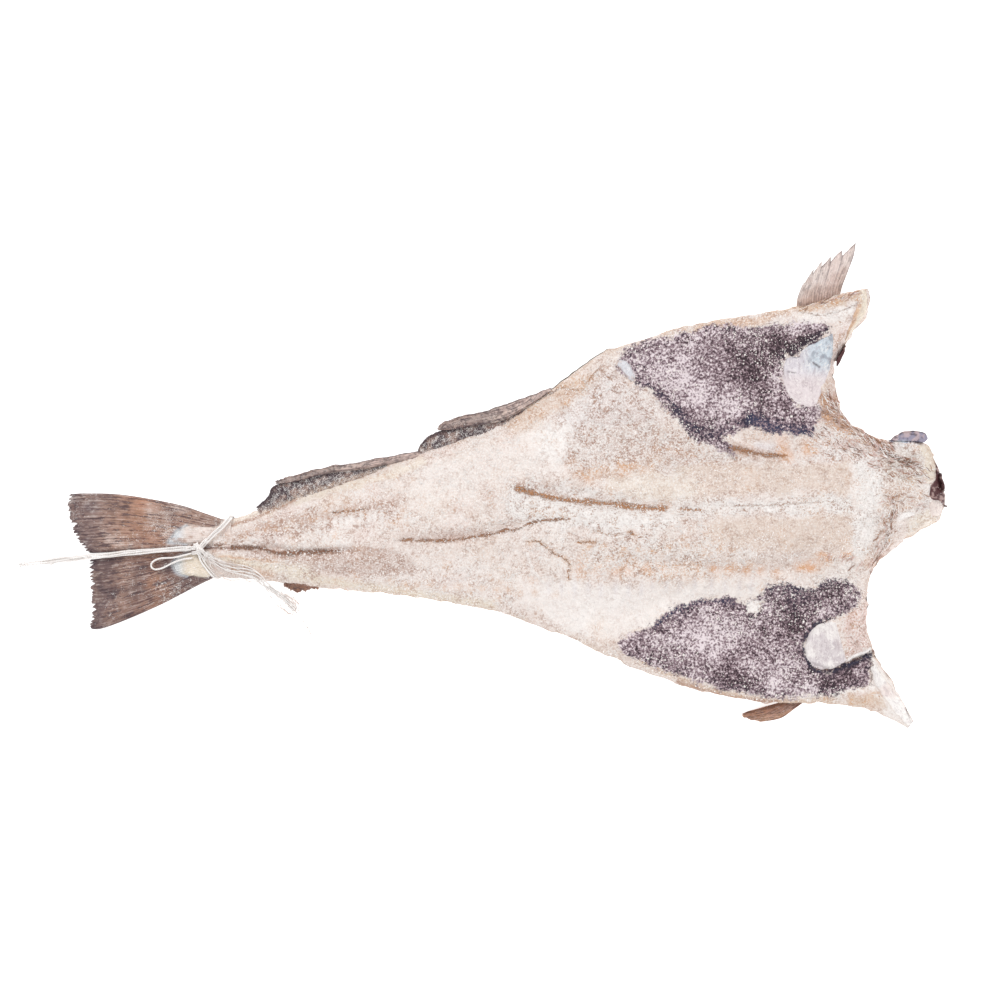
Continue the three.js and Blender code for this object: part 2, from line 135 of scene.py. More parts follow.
# Fine cuts (depth above 0) and ridges (below 0) in the flesh: course, depth and half width.
SEAMS = [
    ([(9, -3), (26, -6), (49, -12), (70, -13), (92, -16), (115, -16.5), (130, -18)], 1, 2.2),
    ([(-73, -38), (-49, -39), (-30, -36), (-4, -33), (6, -32)], 0.8, 1.6),
    ([(15, -40), (25, -41), (37, -47), (44, -52), (45, -57), (43, -63), (44, -69)], 0.9, 1.2),
    (SHORT_CRACK, 0.8, 1), ([(87, -33), (93, -37)], 0.5, 1.2),
    ([(14, -47), (19, -60), (26, -68)], -1.2, 1.4),
    ([(-205, -44), (-180, -44.5), (-150, -46), (-110, -47)], 1.1, 1.7),
    ([(113, 72), (128, 54), (136, 42), (150, 37), (168, 44), (184, 50)], 1.8, 2.2),
    ([(161, 31), (173, 24), (189, 21)], 1.8, 1.4),
    ([(215, -126), (226, -130), (240, -125), (257, -116)], 2.4, 1.2),
    ([(262, 24), (274, 17), (287, 12)], 1.8, 1.1), ([(268, -46), (262, -36), (258, -20)], 1.4, 2.2),
    ([(222, 50), (236, 44), (252, 34), (262, 28)], 1.6, 1.8),
    ([(232, 118), (222, 124), (206, 120)], -1.4, 2),
]

# Pitch of the flakes, and cell and seed of the noise that spreads the salt.
FLAKE_PITCH = 0.0088
SALT_PATCH = 0.02
SALT_SEED = 38
# Strength of the dark grit between the grains: painted crevice shade mixed with ochre stain.
GRITTINESS = 1.02
# Cells along each side of the noise's table, which then repeats.
TABLE = 256

# Outlines of the dark belly lining on the two flaps, and of a gap in it where white flesh shows.
UPPER_LINING = mm([
    (77, 84), (79, 90), (87, 96), (98, 101.5), (112, 104.5), (128, 107), (145, 112), (181, 111), (201, 114),
    (226, 111), (227, 107), (210, 95), (205, 89), (195, 90), (194, 83), (195, 72), (201, 62), (208, 56),
    (219, 56), (220, 51), (214, 35), (202, 34), (186, 36), (171, 40), (163, 38), (154, 33), (161, 19),
    (149, 26), (132, 30), (123, 42), (115, 50), (107, 58), (100, 67), (91, 70), (84, 74), (78, 80),
])
LOWER_LINING = mm([
    (77, -111), (91, -103), (100, -100), (112, -91), (119, -85), (136, -80), (154, -79), (168, -85),
    (177, -79), (185, -70), (198, -68), (212, -72), (229, -65), (241, -66), (249, -79), (243, -87),
    (231, -94), (211, -107), (210, -113), (211, -120), (215, -127), (226, -129), (256, -117), (253, -123),
    (253, -140), (229, -147), (214, -149), (194, -149), (167, -147), (147, -142), (119, -134), (100, -126),
    (87, -121),
])
LINING_GAP = mm([
    (168.7, -83.6), (174.6, -80.5), (181.6, -80.8), (179.5, -85.8), (175.3, -91.3), (169.8, -89.9),
])
# Darker (above 0) and more salted (below 0) parts of the lining: x, y, radius, strength.
LINING_TONES = [
    (192, 100, 9, 0.5), (170, 84, 13, 0.95), (193, 92, 9, 0.6), (214, 108, 10, 0.6), (178, 60, 10, 0.2),
    (90, 100, 6, 0.4), (104, 80, 10, -0.5), (120, 71, 11, -0.9), (140, 60, 10, -1), (160, 53, 8, -0.8),
    (205, 112, 7, -1.4), (218, 111, 6, -1.4), (124, 92, 10, -0.3), (188, 74, 4, -1.2), (128, -88, 8, 0.3),
    (104, -100, 8, 0.2), (140, -108, 15, -0.75), (160, -102, 10, -0.6), (118, -108, 9, -0.4),
    (158, -140, 12, 0.7), (144, -133, 8, 0.5), (202, -100, 11, 0.8), (204, -80, 10, 0.7),
    (232, -78, 10, 0.6), (190, -136, 10, -0.8), (212, -142, 7, -0.6), (236, -132, 13, 0.6),
    (176, -88, 6, 0.8), (120, -126, 9, 0.2), (225, -142, 12, 0.5), (200, -145, 9, 0.3), (178, -142, 9, 0.3),
]
BLUE_TONES = [(92, 84, 12, 0.35), (120, -86, 10, 0.5), (205, -72, 12, 0.5)]
# Dark creases and borders of the lining: course, half width, darkness and blueness.
LINING_BANDS = [
    ([(98, 71), (110, 62), (118, 56), (123, 50)], 3.5, 0.4, 0.5),
    ([(119, 52), (128, 42), (140, 36), (152, 36), (164, 42), (172, 46)], 5, 0.55, 0.5),
    ([(172, 46), (185, 40), (200, 36), (213, 36)], 6, 0.6, 1),
    ([(84, 76), (95, 70), (104, 64)], 3, 0.35, 0.4),
    ([(104, -98), (118, -88), (135, -81), (150, -81), (160, -82)], 3, 0.5, 0.9),
    ([(180, -76), (195, -69), (212, -73), (230, -66)], 3, 0.6, 0.5),
    ([(200, 93), (212, 101), (226, 109)], 3.5, 1.1, 0.1),
    ([(208.5, -112), (210.5, -123.5), (216, -129.8), (228, -131), (238, -125.8)], 1, 1.6, 0.7),
    ([(238, -125.8), (245.5, -122.4), (251, -119.4), (256.5, -117.8)], 1.5, 3, 0.9),
    ([(208.5, -112), (211.5, -104), (216.5, -98.2), (226, -94)], 1, 1.3, 0.6),
]

# Areas of the flesh: colour, strength, softness of the border, grit, salt crust and outline.
ZONES = [
    ("speckle", 0.65, 4, 1, 0.25, [(-186, -47), (-144, -50), (-112, -45), (-84, -45), (-63, -53),
     (-72, -63), (-102, -65), (-137, -61), (-161, -53)]),
    ("speckle", 0.3, 5, 0.95, 0.4, [(-189, -37), (-165, -26), (-130, -18), (-95, -9), (-72, -9),
     (-77, -26), (-123, -30), (-165, -40)]),
    ("cream", 0.55, 2, 0.3, 0.1, [(-194, -25), (-170, -14), (-144, -5), (-112, 2), (-81, 12), (-56, 20),
     (-56, 14), (-81, 5), (-112, -5), (-144, -13), (-170, -22), (-191, -30)]),
    ("white", 0.3, 6, 0.2, 0.3, [(-74, 2), (-25, 24), (24, 45), (59, 38), (49, 24), (10, 3), (-25, -12),
     (-60, -19)]),
    ("tan", 0.45, 4, 0.7, 0.2, [(-4, 44), (17, 61), (38, 73), (61, 76), (62, 65), (49, 56), (28, 45),
     (7, 34)]), ("white", 0.65, 6, 0.25, 0.3, [(28, 40), (61, 51), (68, 31), (54, 20), (30, 17), (19, 27)]),
    ("speckle", 0.52, 6, 1, 0.55, [(42, 26), (59, 51), (86, 59), (110, 42), (138, 27), (168, 19),
     (152, 12), (108, 7), (66, 5), (44, 13)]),
    ("film", 0.35, 5, 0.8, 0.4, [(30, 45), (60, 72), (76, 82), (100, 62), (118, 48), (95, 40), (60, 38)]),
    ("beige", 0.85, 3, 0.4, 0.12, [(129, 14), (178, 15), (238, 14), (240, 3), (238, -7), (192, -5),
     (136, -8)]),
    ("beige", 0.85, 3, 0.35, 0.1, [(140, -27), (192, -21), (243, -23), (251, -35), (246, -45), (199, -46),
     (140, -42)]), ("cream", 0.45, 5, 0.25, 0.25, [(69, 6), (129, 12), (131, -9), (94, -9), (69, -5)]),
    ("white", 0.45, 4, 0.7, 0.85, [(0, 5), (38, 0), (66, -6), (101, -13), (157, -11), (239, -9),
     (239, -21), (178, -19), (136, -24), (94, -32), (38, -32), (0, -19)]),
    ("ochre", 0.22, 6, 0.85, 0.65, [(59, -40), (101, -36), (152, -37), (157, -53), (136, -65), (94, -67),
     (59, -60)]),
    ("white", 0.6, 5, 0.12, 0.2, [(10, -68), (66, -71), (122, -68), (181, -64), (177, -79), (136, -82),
     (94, -103), (66, -109), (38, -96), (10, -81)]),
    ("white", 0.75, 3, 0.6, 0.9, [(240, 20), (262, 24), (260, -11), (256, -49), (242, -53), (242, -25),
     (247, -4)]),
    ("brown", 0.85, 2, 1, 0.2, [(220, 65), (233, 62), (241, 49), (254, 37), (269, 28), (266, 19),
     (243, 26), (223, 38)]),
    ("rose", 0.45, 3, 0.95, 0.7, [(210, 38), (241, 40), (265, 23), (262, 12), (236, 16), (210, 17)]),
    ("olive", 0.38, 3, 1, 0.45, [(264, 25), (280, 26), (290, 23), (293, 0), (276, -3), (264, 4)]),
    ("cream", 0.9, 1.5, 0.3, 0.2, [(289, 29), (298, 28), (303, 13), (301, 2), (294, -1), (292, 10)]),
    ("tan", 0.3, 3, 0.9, 0.5, [(262, -4), (293, -2), (293, -11), (273, -19), (262, -25)]),
    ("cream", 0.75, 2, 0.5, 0.4, [(280, -26), (290, -19), (308, -15), (308, -23), (290, -34), (280, -36)]),
    ("brown", 0.3, 2, 0.9, 0.6, [(257, -25), (270, -15), (271, -39), (266, -53), (259, -63), (252, -60)]),
    ("rose", 0.95, 2, 0.85, 0.35, [(234, -92), (254, -81), (256, -115), (238, -123)]),
    ("tan", 0.85, 1.5, 0.9, 0.2, [(203, 127), (227, 132), (250, 139), (253, 132), (236, 125), (206, 119)]),
    ("ochre", 0.6, 2, 0.5, 0.2, [(122, 108), (150, 116), (178, 119), (201, 124), (205, 118), (178, 112),
     (150, 107)]),
    ("white", 0.7, 1.5, 0.2, 0.3, [(199, 120), (233, 124), (242, 121), (231, 112), (206, 113)]),
    ("rose", 0.45, 2, 0.5, 0.4, [(242, 125), (247, 130), (241, 105), (234, 94), (234, 65), (227, 61),
     (229, 94), (233, 108)]),
    ("white", 0.7, 1.5, 0.15, 0.2, [(254, -117), (262, -127), (276, -149), (285, -170), (280, -171),
     (264, -159), (254, -149)]),
    ("tan", 0.7, 2, 0.6, 0.1, [(238, -145), (261, -146), (266, -155), (241, -156)]),
]
# Stains with soft borders: x, y, radius along, radius across, turn in degrees, colour, strength.
STAINS = [
    (60, 8, 12, 4, 10, "ochre", 0.7), (85, 11, 16, 5, 5, "ochre", 0.8), (104, 15, 8, 4, 15, "ochre", 0.5),
    (48, 13, 7, 5, 0, "rust", 0.25), (112, -61, 5, 4, 0, "ochre", 0.8), (135, -57, 4, 4, 0, "ochre", 0.7),
    (158, -57, 4, 4, 0, "ochre", 0.8), (232, 55, 8, 4, -50, "umber", 0.55),
    (245, 42, 9, 3, -38, "umber", 0.55), (259, 31, 8, 2.5, -30, "umber", 0.5),
    (228, 66, 3, 6, 0, "umber", 0.35), (168, -57, 4, 4, 0, "ochre", 0.8), (180, -55, 5, 3, 0, "tan", 0.5),
    (210, -57, 6, 4, 0, "orange", 1.6), (222, -50, 5, 3, 30, "orange", 1.2),
    (238, -47, 3, 2, 0, "orange", 1.2), (259, -56, 4, 5, 60, "orange", 0.35),
    (100, -63, 5, 4, 0, "ochre", 0.6), (124, -60, 5, 4, 0, "ochre", 0.5), (70, -53, 4, 3, 0, "ochre", 0.7),
    (82, -50, 4, 3, 0, "ochre", 0.6), (96, -46, 4, 3, 0, "orange", 0.5), (105, -54, 4, 3, 0, "ochre", 0.7),
    (56, -61, 5, 4, 0, "ochre", 0.5), (20, -67, 5, 3, 0, "orange", 0.5), (-2, -70, 4, 3, 0, "ochre", 0.4),
    (35, -77, 5, 3, 0, "ochre", 0.4), (66, -100, 6, 9, 0, "ochre", 0.35), (194, 23, 4, 6, 40, "orange", 1),
    (192, 31, 4, 5, 0, "orange", 0.7), (212, 25, 5, 6, 30, "orange", 0.9),
    (-116, -18, 4, 2.4, 10, "brown", 1), (-106, -20, 9, 2, 5, "brown", 0.5),
    (-127, -22, 8, 2.4, 15, "brown", 0.45), (-160, -28, 16, 3, 18, "speckle", 0.7),
    (47, 70, 16, 5, 30, "ochre", 0.5), (15, 45, 20, 6, 35, "ochre", 0.3), (-25, 24, 25, 4, 22, "tan", 0.4),
    (-20, -60, 36, 9, -6, "white", 0.7), (100, -36, 36, 7, -2, "white", 0.7),
    (79, 12.5, 5, 2.5, 0, "orange", 0.6), (66, 12.5, 4, 2, 0, "orange", 0.5),
    (54, 5, 5, 3, -30, "orange", 0.5), (118, 22, 22, 4, -12, "rose", 0.5),
    (125, 22, 20, 3.5, -12, "brown", 0.35), (228, 52, 5, 4, -30, "brown", 0.6),
    (250, 108, 3, 9, -30, "orange", 0.5), (300, -2, 3, 4, 0, "white", 0.6),
    (302, -15, 5, 3, 0, "film", 0.9), (278, -21, 9, 2, 5, "white", 1), (276, 28, 5, 2, 5, "film_blue", 0.9),
    (214, 112, 12, 4, 5, "film", 0.5), (286, -34, 8, 2, 30, "brown", 0.4),
]
# Narrow dark cracks, such as the blood line along the backbone: course, half width, strength and
# warmth, from a grey crack darkened with painted shade at 0 to dried blood at 1.
CRACKS = [
    ([(9, -3), (14, -5.2), (22, -6.9), (30, -8.8), (38, -10.4), (49, -11.6), (59, -12.5), (70, -13.5),
     (80, -14.6), (91, -15.8), (101, -16.6), (110, -16.4)], 2.6, 1, 0.95),
    ([(123, -17), (129, -17.8), (135, -18)], 1.3, 0.8, 1),
    ([(159, -15), (178, -14.7), (199, -13.6), (228, -11.5)], 0.6, 0.55, 1), (SIDE_CRACK, 1.7, 0.6, 0.55),
    (TAIL_CRACK, 1.9, 0.9, 0.2), (HOOKED_CRACK, 1, 0.6, 0.8),
    ([(-210, -44.4), (-204, -43.6), (-198, -43.8)], 2.6, 1, 0.2),
    ([(-119, -19.5), (-114, -19)], 1.7, 0.9, 0.4), ([(-110, -19), (-98, -17)], 1, 0.5, 0.8),
    (SHORT_CRACK, 1, 0.55, 1), (SMALL_CRACK, 1.2, 0.4, 0.9),
    ([(63, -32), (70, -35), (79, -35)], 0.9, 0.4, 1), ([(38, 69), (48, 66), (55, 66)], 0.7, 0.5, 1),
    ([(58, 72), (62, 78), (66, 82), (72, 74)], 0.7, 0.5, 1), ([(-30, 32), (-14, 39), (2, 47)], 0.7, 0.5, 1),
    (UPPER_CRACK, 2, 0.95, 0.65), ([(-4, 44), (10, 52), (28, 62), (40, 68)], 0.5, 0.8, 0),
    ([(-4, 50), (7, 56), (21, 64), (31, 69)], 0.5, 0.8, 0),
    ([(261, 24), (270, 21), (278, 18), (286, 14)], 0.8, 0.9, 0.1),
    ([(265, 21), (273, 17), (281, 13)], 0.5, 0.7, 0),
    ([(211, -124), (216, -129), (226, -130), (235, -127), (247, -121), (257, -117)], 0.9, 1, 0),
    ([(211, -106), (218, -99), (227, -94)], 0.7, 0.8, 0),
    ([(254, -121), (256, -130), (254, -140)], 0.6, 0.8, 0),
    ([(203, 127), (227, 131), (250, 138.5)], 0.6, 0.6, 0.3),
    ([(205, 121), (220, 117), (238, 122), (246, 127)], 0.5, 0.6, 0.4),
    ([(262, -48), (268, -30), (270, -12)], 0.6, 0.6, 0.2), ([(263, -34), (265, -16)], 0.5, 0.5, 0.3),
    ([(243, 40), (256, 33), (268, 26)], 0.8, 0.7, 0.3), ([(222, 52), (232, 44), (244, 35)], 0.7, 0.6, 0.4),
    ([(-193, -25), (-182, -20.6), (-170, -14), (-151, -7)], 0.5, 0.5, 0.5),
]
# Softer coloured lines: course, half width, colour, strength.
STAINED_LINES = [
    ([(9, -3), (28, -7.4), (49, -10.8), (74, -13), (99, -15.4), (112, -15.8)], 2.8, "rust", 0.6),
    ([(10, -1), (30, -4.4), (46, -7), (66, -9)], 2.4, "speckle", 0.7),
    ([(9, -3), (13, -4.4), (19, -5.6)], 2.8, "brown", 0.9), (HOOKED_CRACK, 1.6, "ochre", 0.6),
    (SHORT_CRACK, 1.6, "ochre", 0.6), (SMALL_CRACK, 1.8, "ochre", 0.6), (TAIL_CRACK, 1.6, "brown", 0.6),
    (SIDE_CRACK[:7], 1.6, "brown", 0.5),
    ([(-73, -37), (-39, -36.5), (-11, -32.5), (6, -29)], 3, "speckle", 0.45),
    ([(-205, -44), (-172, -45), (-147, -48), (-116, -47)], 3.2, "brown", 0.4),
    ([(-116, -46.5), (-105, -45), (-93, -46.5), (-79, -46)], 2.4, "brown", 0.45),
    ([(301, 22), (303, 12), (301, 2)], 1.2, "brown", 0.8),
    ([(257, -118), (268, -133), (283, -158)], 0.8, "tan", 0.8),
    ([(206, -149), (228, -146), (243, -143), (252, -143), (262, -148)], 1, "white", 0.9),
    ([(238, -122), (252, -116), (256, -114.5)], 0.9, "white", 1),
    ([(-200, -52), (-170, -57), (-140, -60)], 3.6, "cream", 1),
    ([(-195, -58), (-165, -63)], 3, "ochre", 0.6),
    ([(-200, -50), (-180, -52), (-160, -54)], 0.8, "ochre", 0.8),
    ([(-150, -64), (-60, -77), (-10, -84)], 3.5, "cream", 0.9),
    ([(14, -47), (19, -60), (26, -68)], 1.3, "white", 0.8),
    ([(150, 26), (157, 20), (160, 17)], 1, "lining", 0.7),
    ([(-194, -37), (-168, -29), (-147, -25), (-129, -23), (-116, -19), (-103, -17), (-88, -14),
     (-72, -11)], 3.4, "brown", 0.45), (UPPER_CRACK, 3.2, "rust", 0.5),
    ([(158, 26), (168, 24.5), (178, 22.5)], 2.4, "brown", 0.7), ([(176, 27), (192, 25)], 3, "film", 0.6),
    ([(94, -123), (130, -139), (156, -146.6), (179, -150.5), (199, -152), (227, -150)], 2, "tan", 1),
    ([(120, -138), (136, -143), (150, -147), (170, -150.4), (190, -152)], 1.5, "brown", 1),
    ([(-193, -29), (-179, -25), (-165, -19), (-147, -11)], 1.3, "brown", 0.9),
    ([(241, 126), (240, 112), (238, 100)], 1.2, "white", 0.9),
    ([(222, 60), (240, 44), (266, 24)], 2.2, "brown", 0.5),
]
# Rows of small marks where ribs and fin bones were: start, end, pitch, radii, colour, strength.
SPOT_ROWS = [
    ((-130, -26), (-86, -23), 4.9, 1.5, 4.6, "white", 1.5),
    ((-186, -36), (-100, -17), 6, 2, 2, "ochre", 0.4), ((-80, -69), (20, -75), 8.9, 2.6, 2.6, "ochre", 0.6),
    ((52, -58), (190, -60), 11.5, 3.4, 3.4, "orange", 0.85),
    ((58, -44), (160, -47), 10.5, 2.6, 2.6, "ochre", 0.6),
    ((104, -68), (182, -73), 9, 1.5, 6, "bladder", 0.9), ((30, -72), (95, -74), 9, 1.5, 6, "film", 0.8),
]
# Torn fibres lie in bands: start, end, spread to the sides, main direction in degrees and number.
FIBRE_BANDS = [
    ((222, 62), (268, 23), 6.5, -45, 240), ((256, -62), (271, -14), 6, 75, 60),
    ((262, 20), (296, 4), 9, -15, 90), ((262, -8), (300, -14), 6, 8, 30),
    ((206, 123), (248, 135), 2.5, 14, 50), ((236, 66), (232, 100), 2, 85, 25),
    ((225, -48), (252, -60), 6, 60, 20), ((216, 40), (262, 14), 8, -35, 90),
]

# ---- fins and films

# The two lobes of the tail fin: lower and upper border from the rear edge to the root, ragged rear edge
# from the lower border to the upper, shares of the fin's width, depth and number of the teeth, and
# place and depth of a notch.
TAIL_LOBES = [
    (
        [(-293, -100.5), (-284, -101.2), (-265, -94.5), (-239, -83), (-214, -70), (-192, -60)],
        [(-292.5, -53), (-270, -50), (-240, -47), (-216, -44.8), (-192, -42.6)],
        [(-293, -100.5), (-290.5, -90), (-291, -76), (-292.5, -64), (-292.5, -53)],
        (0, 0.47), 3, 17, (0.62, 3),
    ),
    (
        [(-293.7, -48.4), (-270, -47.2), (-240, -45.5), (-192, -44)],
        [(-306.2, -7), (-295, -6.2), (-268, -7.2), (-230.7, -13.7), (-210, -20.3), (-192, -26.5)],
        [(-293.7, -48.4), (-298, -43), (-302.5, -35), (-305.2, -26), (-307.5, -16), (-306.2, -7)],
        (0.53, 1), 2, 15, (0.55, 6.2),
    ),
]
# Flesh that reaches over the root of the tail fin: on its two lobes, and from the body.
TAIL_ROOT_UPPER = mm([(-236, -40.5), (-231, -33), (-221, -28.5), (-203, -30), (-200, -40), (-217, -42.5)])
TAIL_ROOT_LOWER = mm([
    (-233, -56), (-230, -51), (-217, -47), (-206, -47), (-200, -62), (-210, -65), (-224, -64), (-231, -61),
])
TAIL_FLESH = mm([
    (-213.5, -43), (-205, -30), (-192, -23), (-186, -44), (-188.6, -66), (-205, -66.1), (-208.9, -54.9),
])
# Fins pressed along an edge, each of one or two leaves: colour zone, height, inner and outer line.
EDGE_FINS = {
    "rear_dorsal": [
        ("dark", 3,
         [(-173.5, -23.5), (-160, -18), (-142, -10.5), (-120, -2), (-92, 8), (-64, 18.5)],
         [(-174.2, -16), (-166.5, -8), (-161.2, 0), (-135, 8.5), (-100, 14.5), (-64, 21.5)]),
        ("band", 4.2,
         [(-160.8, 0.4), (-153.7, 0.8), (-142.5, 3), (-125, 7.5), (-95, 11.5), (-60, 19)],
         [(-161.2, 2.2), (-155.3, 4.4), (-144, 7.8), (-125, 12.6), (-95, 17.2), (-60, 24)]),
    ],
    "middle_dorsal": [
        ("dark", 3,
         [(-61, 19), (-50, 20.5), (-34, 25), (-16, 31), (-2, 38), (14, 50)],
         [(-62.2, 23.5), (-56.8, 31.5), (-46.8, 37.5), (-25, 44), (-5, 48), (14, 57)]),
        ("band", 4.4,
         [(-47.2, 38), (-38, 38.2), (-25.6, 40.4), (-12, 42.5), (4, 47.5), (32, 65.5)],
         [(-47.4, 39.2), (-45, 43), (-33, 47.6), (-12, 52.5), (6, 58), (32, 68)]),
    ],
    "anal_fin": [
        ("brown", 2.6,
         [(-153, -68), (-147, -69), (-139, -69.5), (-130, -70.5)],
         [(-156, -70), (-152, -73.8), (-143, -75), (-131, -72.5)]),
    ],
}
# Pectoral fins: whether pale, their root, tip, rear and front line, height at the root and the tip,
# number and depth of the notches, and seed.
PECTORALS = {
    "upper_pectoral": (True, [
        [(204.5, 118), (214, 120), (224, 122), (233.5, 124)],
        [(209.4, 142.5), (215, 150), (220.6, 156.2), (226, 159), (232, 163), (239.5, 166.5), (246, 170)],
        [(204.5, 118), (204, 128), (206.5, 136), (209.4, 142.5)],
        [(233.5, 124), (235, 136), (239.8, 148.8), (244.2, 160.3), (246, 170)],
    ], (10, 4), 5, 4.5, 101),
    "lower_pectoral": (False, [
        [(212, -142), (213, -144), (214, -146), (215, -148)],
        [(169, -159.5), (165, -162), (170, -165), (179, -166.7)],
        [(212, -142), (200, -150), (181, -156), (169, -159.5)],
        [(215, -148), (203, -157), (193, -164), (179, -166.7)],
    ], (8, 2.6), 4, 1.5, 111),
}
# Thin films and flaps on the body, each a strip between a low and a high edge: low edge, high edge,
# lift, thickness, kind and steps.
SCRAPS = {
    "gill_membrane": (
        [(194.3, 80), (195, 71.8), (199.2, 61.3), (207.6, 54.8), (217, 56.4), (222, 69.7), (226, 80),
         (228, 93), (227.5, 105)],
        [(194.5, 81.5), (197.1, 89.3), (205.5, 89.3), (207.6, 94.9), (218.8, 100.1), (227.8, 105.8)], 0.9,
        0.8, "gill", (80, 50)),
    "swim_bladder_flap": (
        [(209.4, -114), (211.5, -122.9), (216.7, -128), (227.9, -128.8), (237.7, -122.9)],
        [(209.7, -112), (212.5, -104.7), (217, -100), (222.3, -97), (231.4, -94.9)], 1.4, 1, "bladder",
        (60, 44)),
    "film_streak": (
        [(78.5, 85.3), (81.2, 79.2), (86.6, 73.9), (90, 72.9)],
        [(79.2, 87.3), (83.9, 86.6), (87.9, 81.2), (90.9, 75)], 0.8, 0.6, "film_blue", (36, 16)),
    "nape_skin_flap": (
        [(266.5, 28.3), (273.3, 29.7), (280.3, 29), (286.6, 29.7), (291.5, 29), (294.3, 31.6)],
        [(265.8, 28.8), (271.2, 33.2), (278.2, 36.8), (285.9, 37.4), (292.9, 35.3), (294.7, 32.5)], 1, 1.2,
        "skin_blue", (60, 20)),
    "nape_skin_edge": (
        [(301, 14.4), (300.7, 6), (295.8, -3.2), (296.1, -9.5), (302.1, -11.2), (307.7, -15.8)],
        [(301.4, 15.8), (303.8, 8.8), (304.9, 4.6), (306.2, -1), (307.2, -8), (308.2, -15)], 0.8, 1.2,
        "skin_dark", (50, 24)),
    "nape_bulb": (
        [(294.4, -16.5), (297.2, -21.4), (302.8, -21.4), (305.6, -16.5)],
        [(295.1, -12.3), (298.6, -10.9), (302.8, -12.3), (305.6, -15.1)], 1.3, 0.8, "flesh", (30, 24)),
    "nape_wedge": (
        [(273.4, -25.6), (279.7, -23.5), (284.8, -21.2)], [(273.2, -21.4), (279, -19.3), (284.6, -19.3)], 1,
        0.8, "white", (30, 14)),
    "collar_skin_edge": (
        [(236.3, 97.7), (232.8, 92.8), (231, 85.8), (231, 82.3)],
        [(237.3, 98.4), (236.3, 92.1), (233.5, 85.8), (231.4, 81.9)], -1, 1, "skin_dark", (30, 10)),
    "upper_collar_bone": (
        [(249.4, 135.5), (251.8, 129), (251.4, 121), (246, 111.8), (237.6, 100.2)],
        [(246.9, 134.6), (245.4, 127), (241.9, 118), (238.6, 108), (236.4, 101)], 1.2, 1.4, "bone",
        (60, 20)),
    "lower_collar_film": (
        [(254.5, -127.2), (256, -136.9), (262.2, -147.6), (271.9, -160.8), (281, -168.6)],
        [(257.6, -124.3), (260.6, -130.2), (269.4, -142.5), (279, -155.1), (284, -165)], 0.9, 1, "rosy",
        (60, 26)),
    "lining_fold": (
        [(238.4, -123.6), (245.4, -120.4), (251, -117.3), (255.9, -115.9)],
        [(238.4, -121.3), (245.4, -118), (251, -115.2), (255.5, -113.9)], 1.1, 0.9, "white", (40, 10)),
}

# ---- twine

# Middle lines, in mm: the tie round the tail, and the three cords that leave the knot.
TIE = mm([
    (-213, -44, 13.7), (-208, -38, 14), (-203, -32.5, 14.6), (-198, -27.5, 14.8), (-194, -22.4, 13.6),
    (-192, -19.8, 9), (-191.6, -21.4, 4.6), (-192, -28, 2.7), (-194.5, -44, 2.6), (-198, -58, 2.7),
    (-200, -65.9, 4.6), (-202, -68.1, 9), (-204.5, -66.2, 13.6), (-208, -61.5, 14.6), (-211.5, -56, 14.3),
    (-213.5, -50.5, 13.9),
])
LONG_END = mm([
    (-219.8, -44.6, 13.5), (-226, -45, 13), (-232, -45.3, 12.3), (-239, -45.8, 11.4), (-246, -46.4, 10.5),
    (-253, -47, 9.7), (-260, -47.6, 9), (-267, -48.2, 8.4), (-274, -49, 8), (-281, -49.8, 7.7),
    (-288, -50.4, 7.4), (-294, -51, 6.8), (-300, -51.8, 5.1), (-307, -52.4, 3.3), (-315, -53.2, 2.3),
    (-324, -54.4, 2.1), (-333, -55.4, 2.1), (-342, -56.2, 2.1),
])
LOOP = mm([
    (-219, -47.9, 12.6), (-222.5, -48.9, 12.4), (-226, -49.7, 12.1), (-229.5, -50.6, 11.7),
    (-233, -51.2, 11.3), (-237, -51.4, 10.9), (-240.8, -51.6, 10.5), (-244.8, -52.8, 10),
    (-247.6, -55, 9.8), (-247.8, -57.8, 9.8), (-245.4, -59.4, 10), (-241.4, -58.9, 10.3),
    (-237.5, -57.3, 10.7), (-233.5, -55.2, 11.2), (-229, -53.3, 11.7), (-224, -52, 12.3),
    (-218.8, -51.4, 12.7),
])
SHORT_END = mm([
    (-208.6, -48, 14), (-205, -51.4, 14.4), (-201, -54.2, 14.9), (-197, -56.4, 15.2), (-192, -58.2, 14.9),
    (-187, -59.3, 14.2), (-182, -60.4, 13.7), (-177, -62.3, 12.9), (-172.5, -65.4, 11.4),
    (-168.5, -69.4, 8.8), (-164.5, -73, 5.4), (-160, -76.3, 3), (-155.5, -80, 2), (-151.5, -84, 1.8),
    (-148, -88, 1.8),
])
KNOT_Y = -0.044
LONG_END_DIAMETER = 0.0036
LOOP_DIAMETER = 0.0016
SHORT_END_DIAMETER = 0.003
# Turns of a strand's plies, as an angle over a length.
PLY_TWIST = 2 * pi / 0.0042
WISP_SPACING = 0.0011
WISP_LEAST_HEIGHT = 0.0006
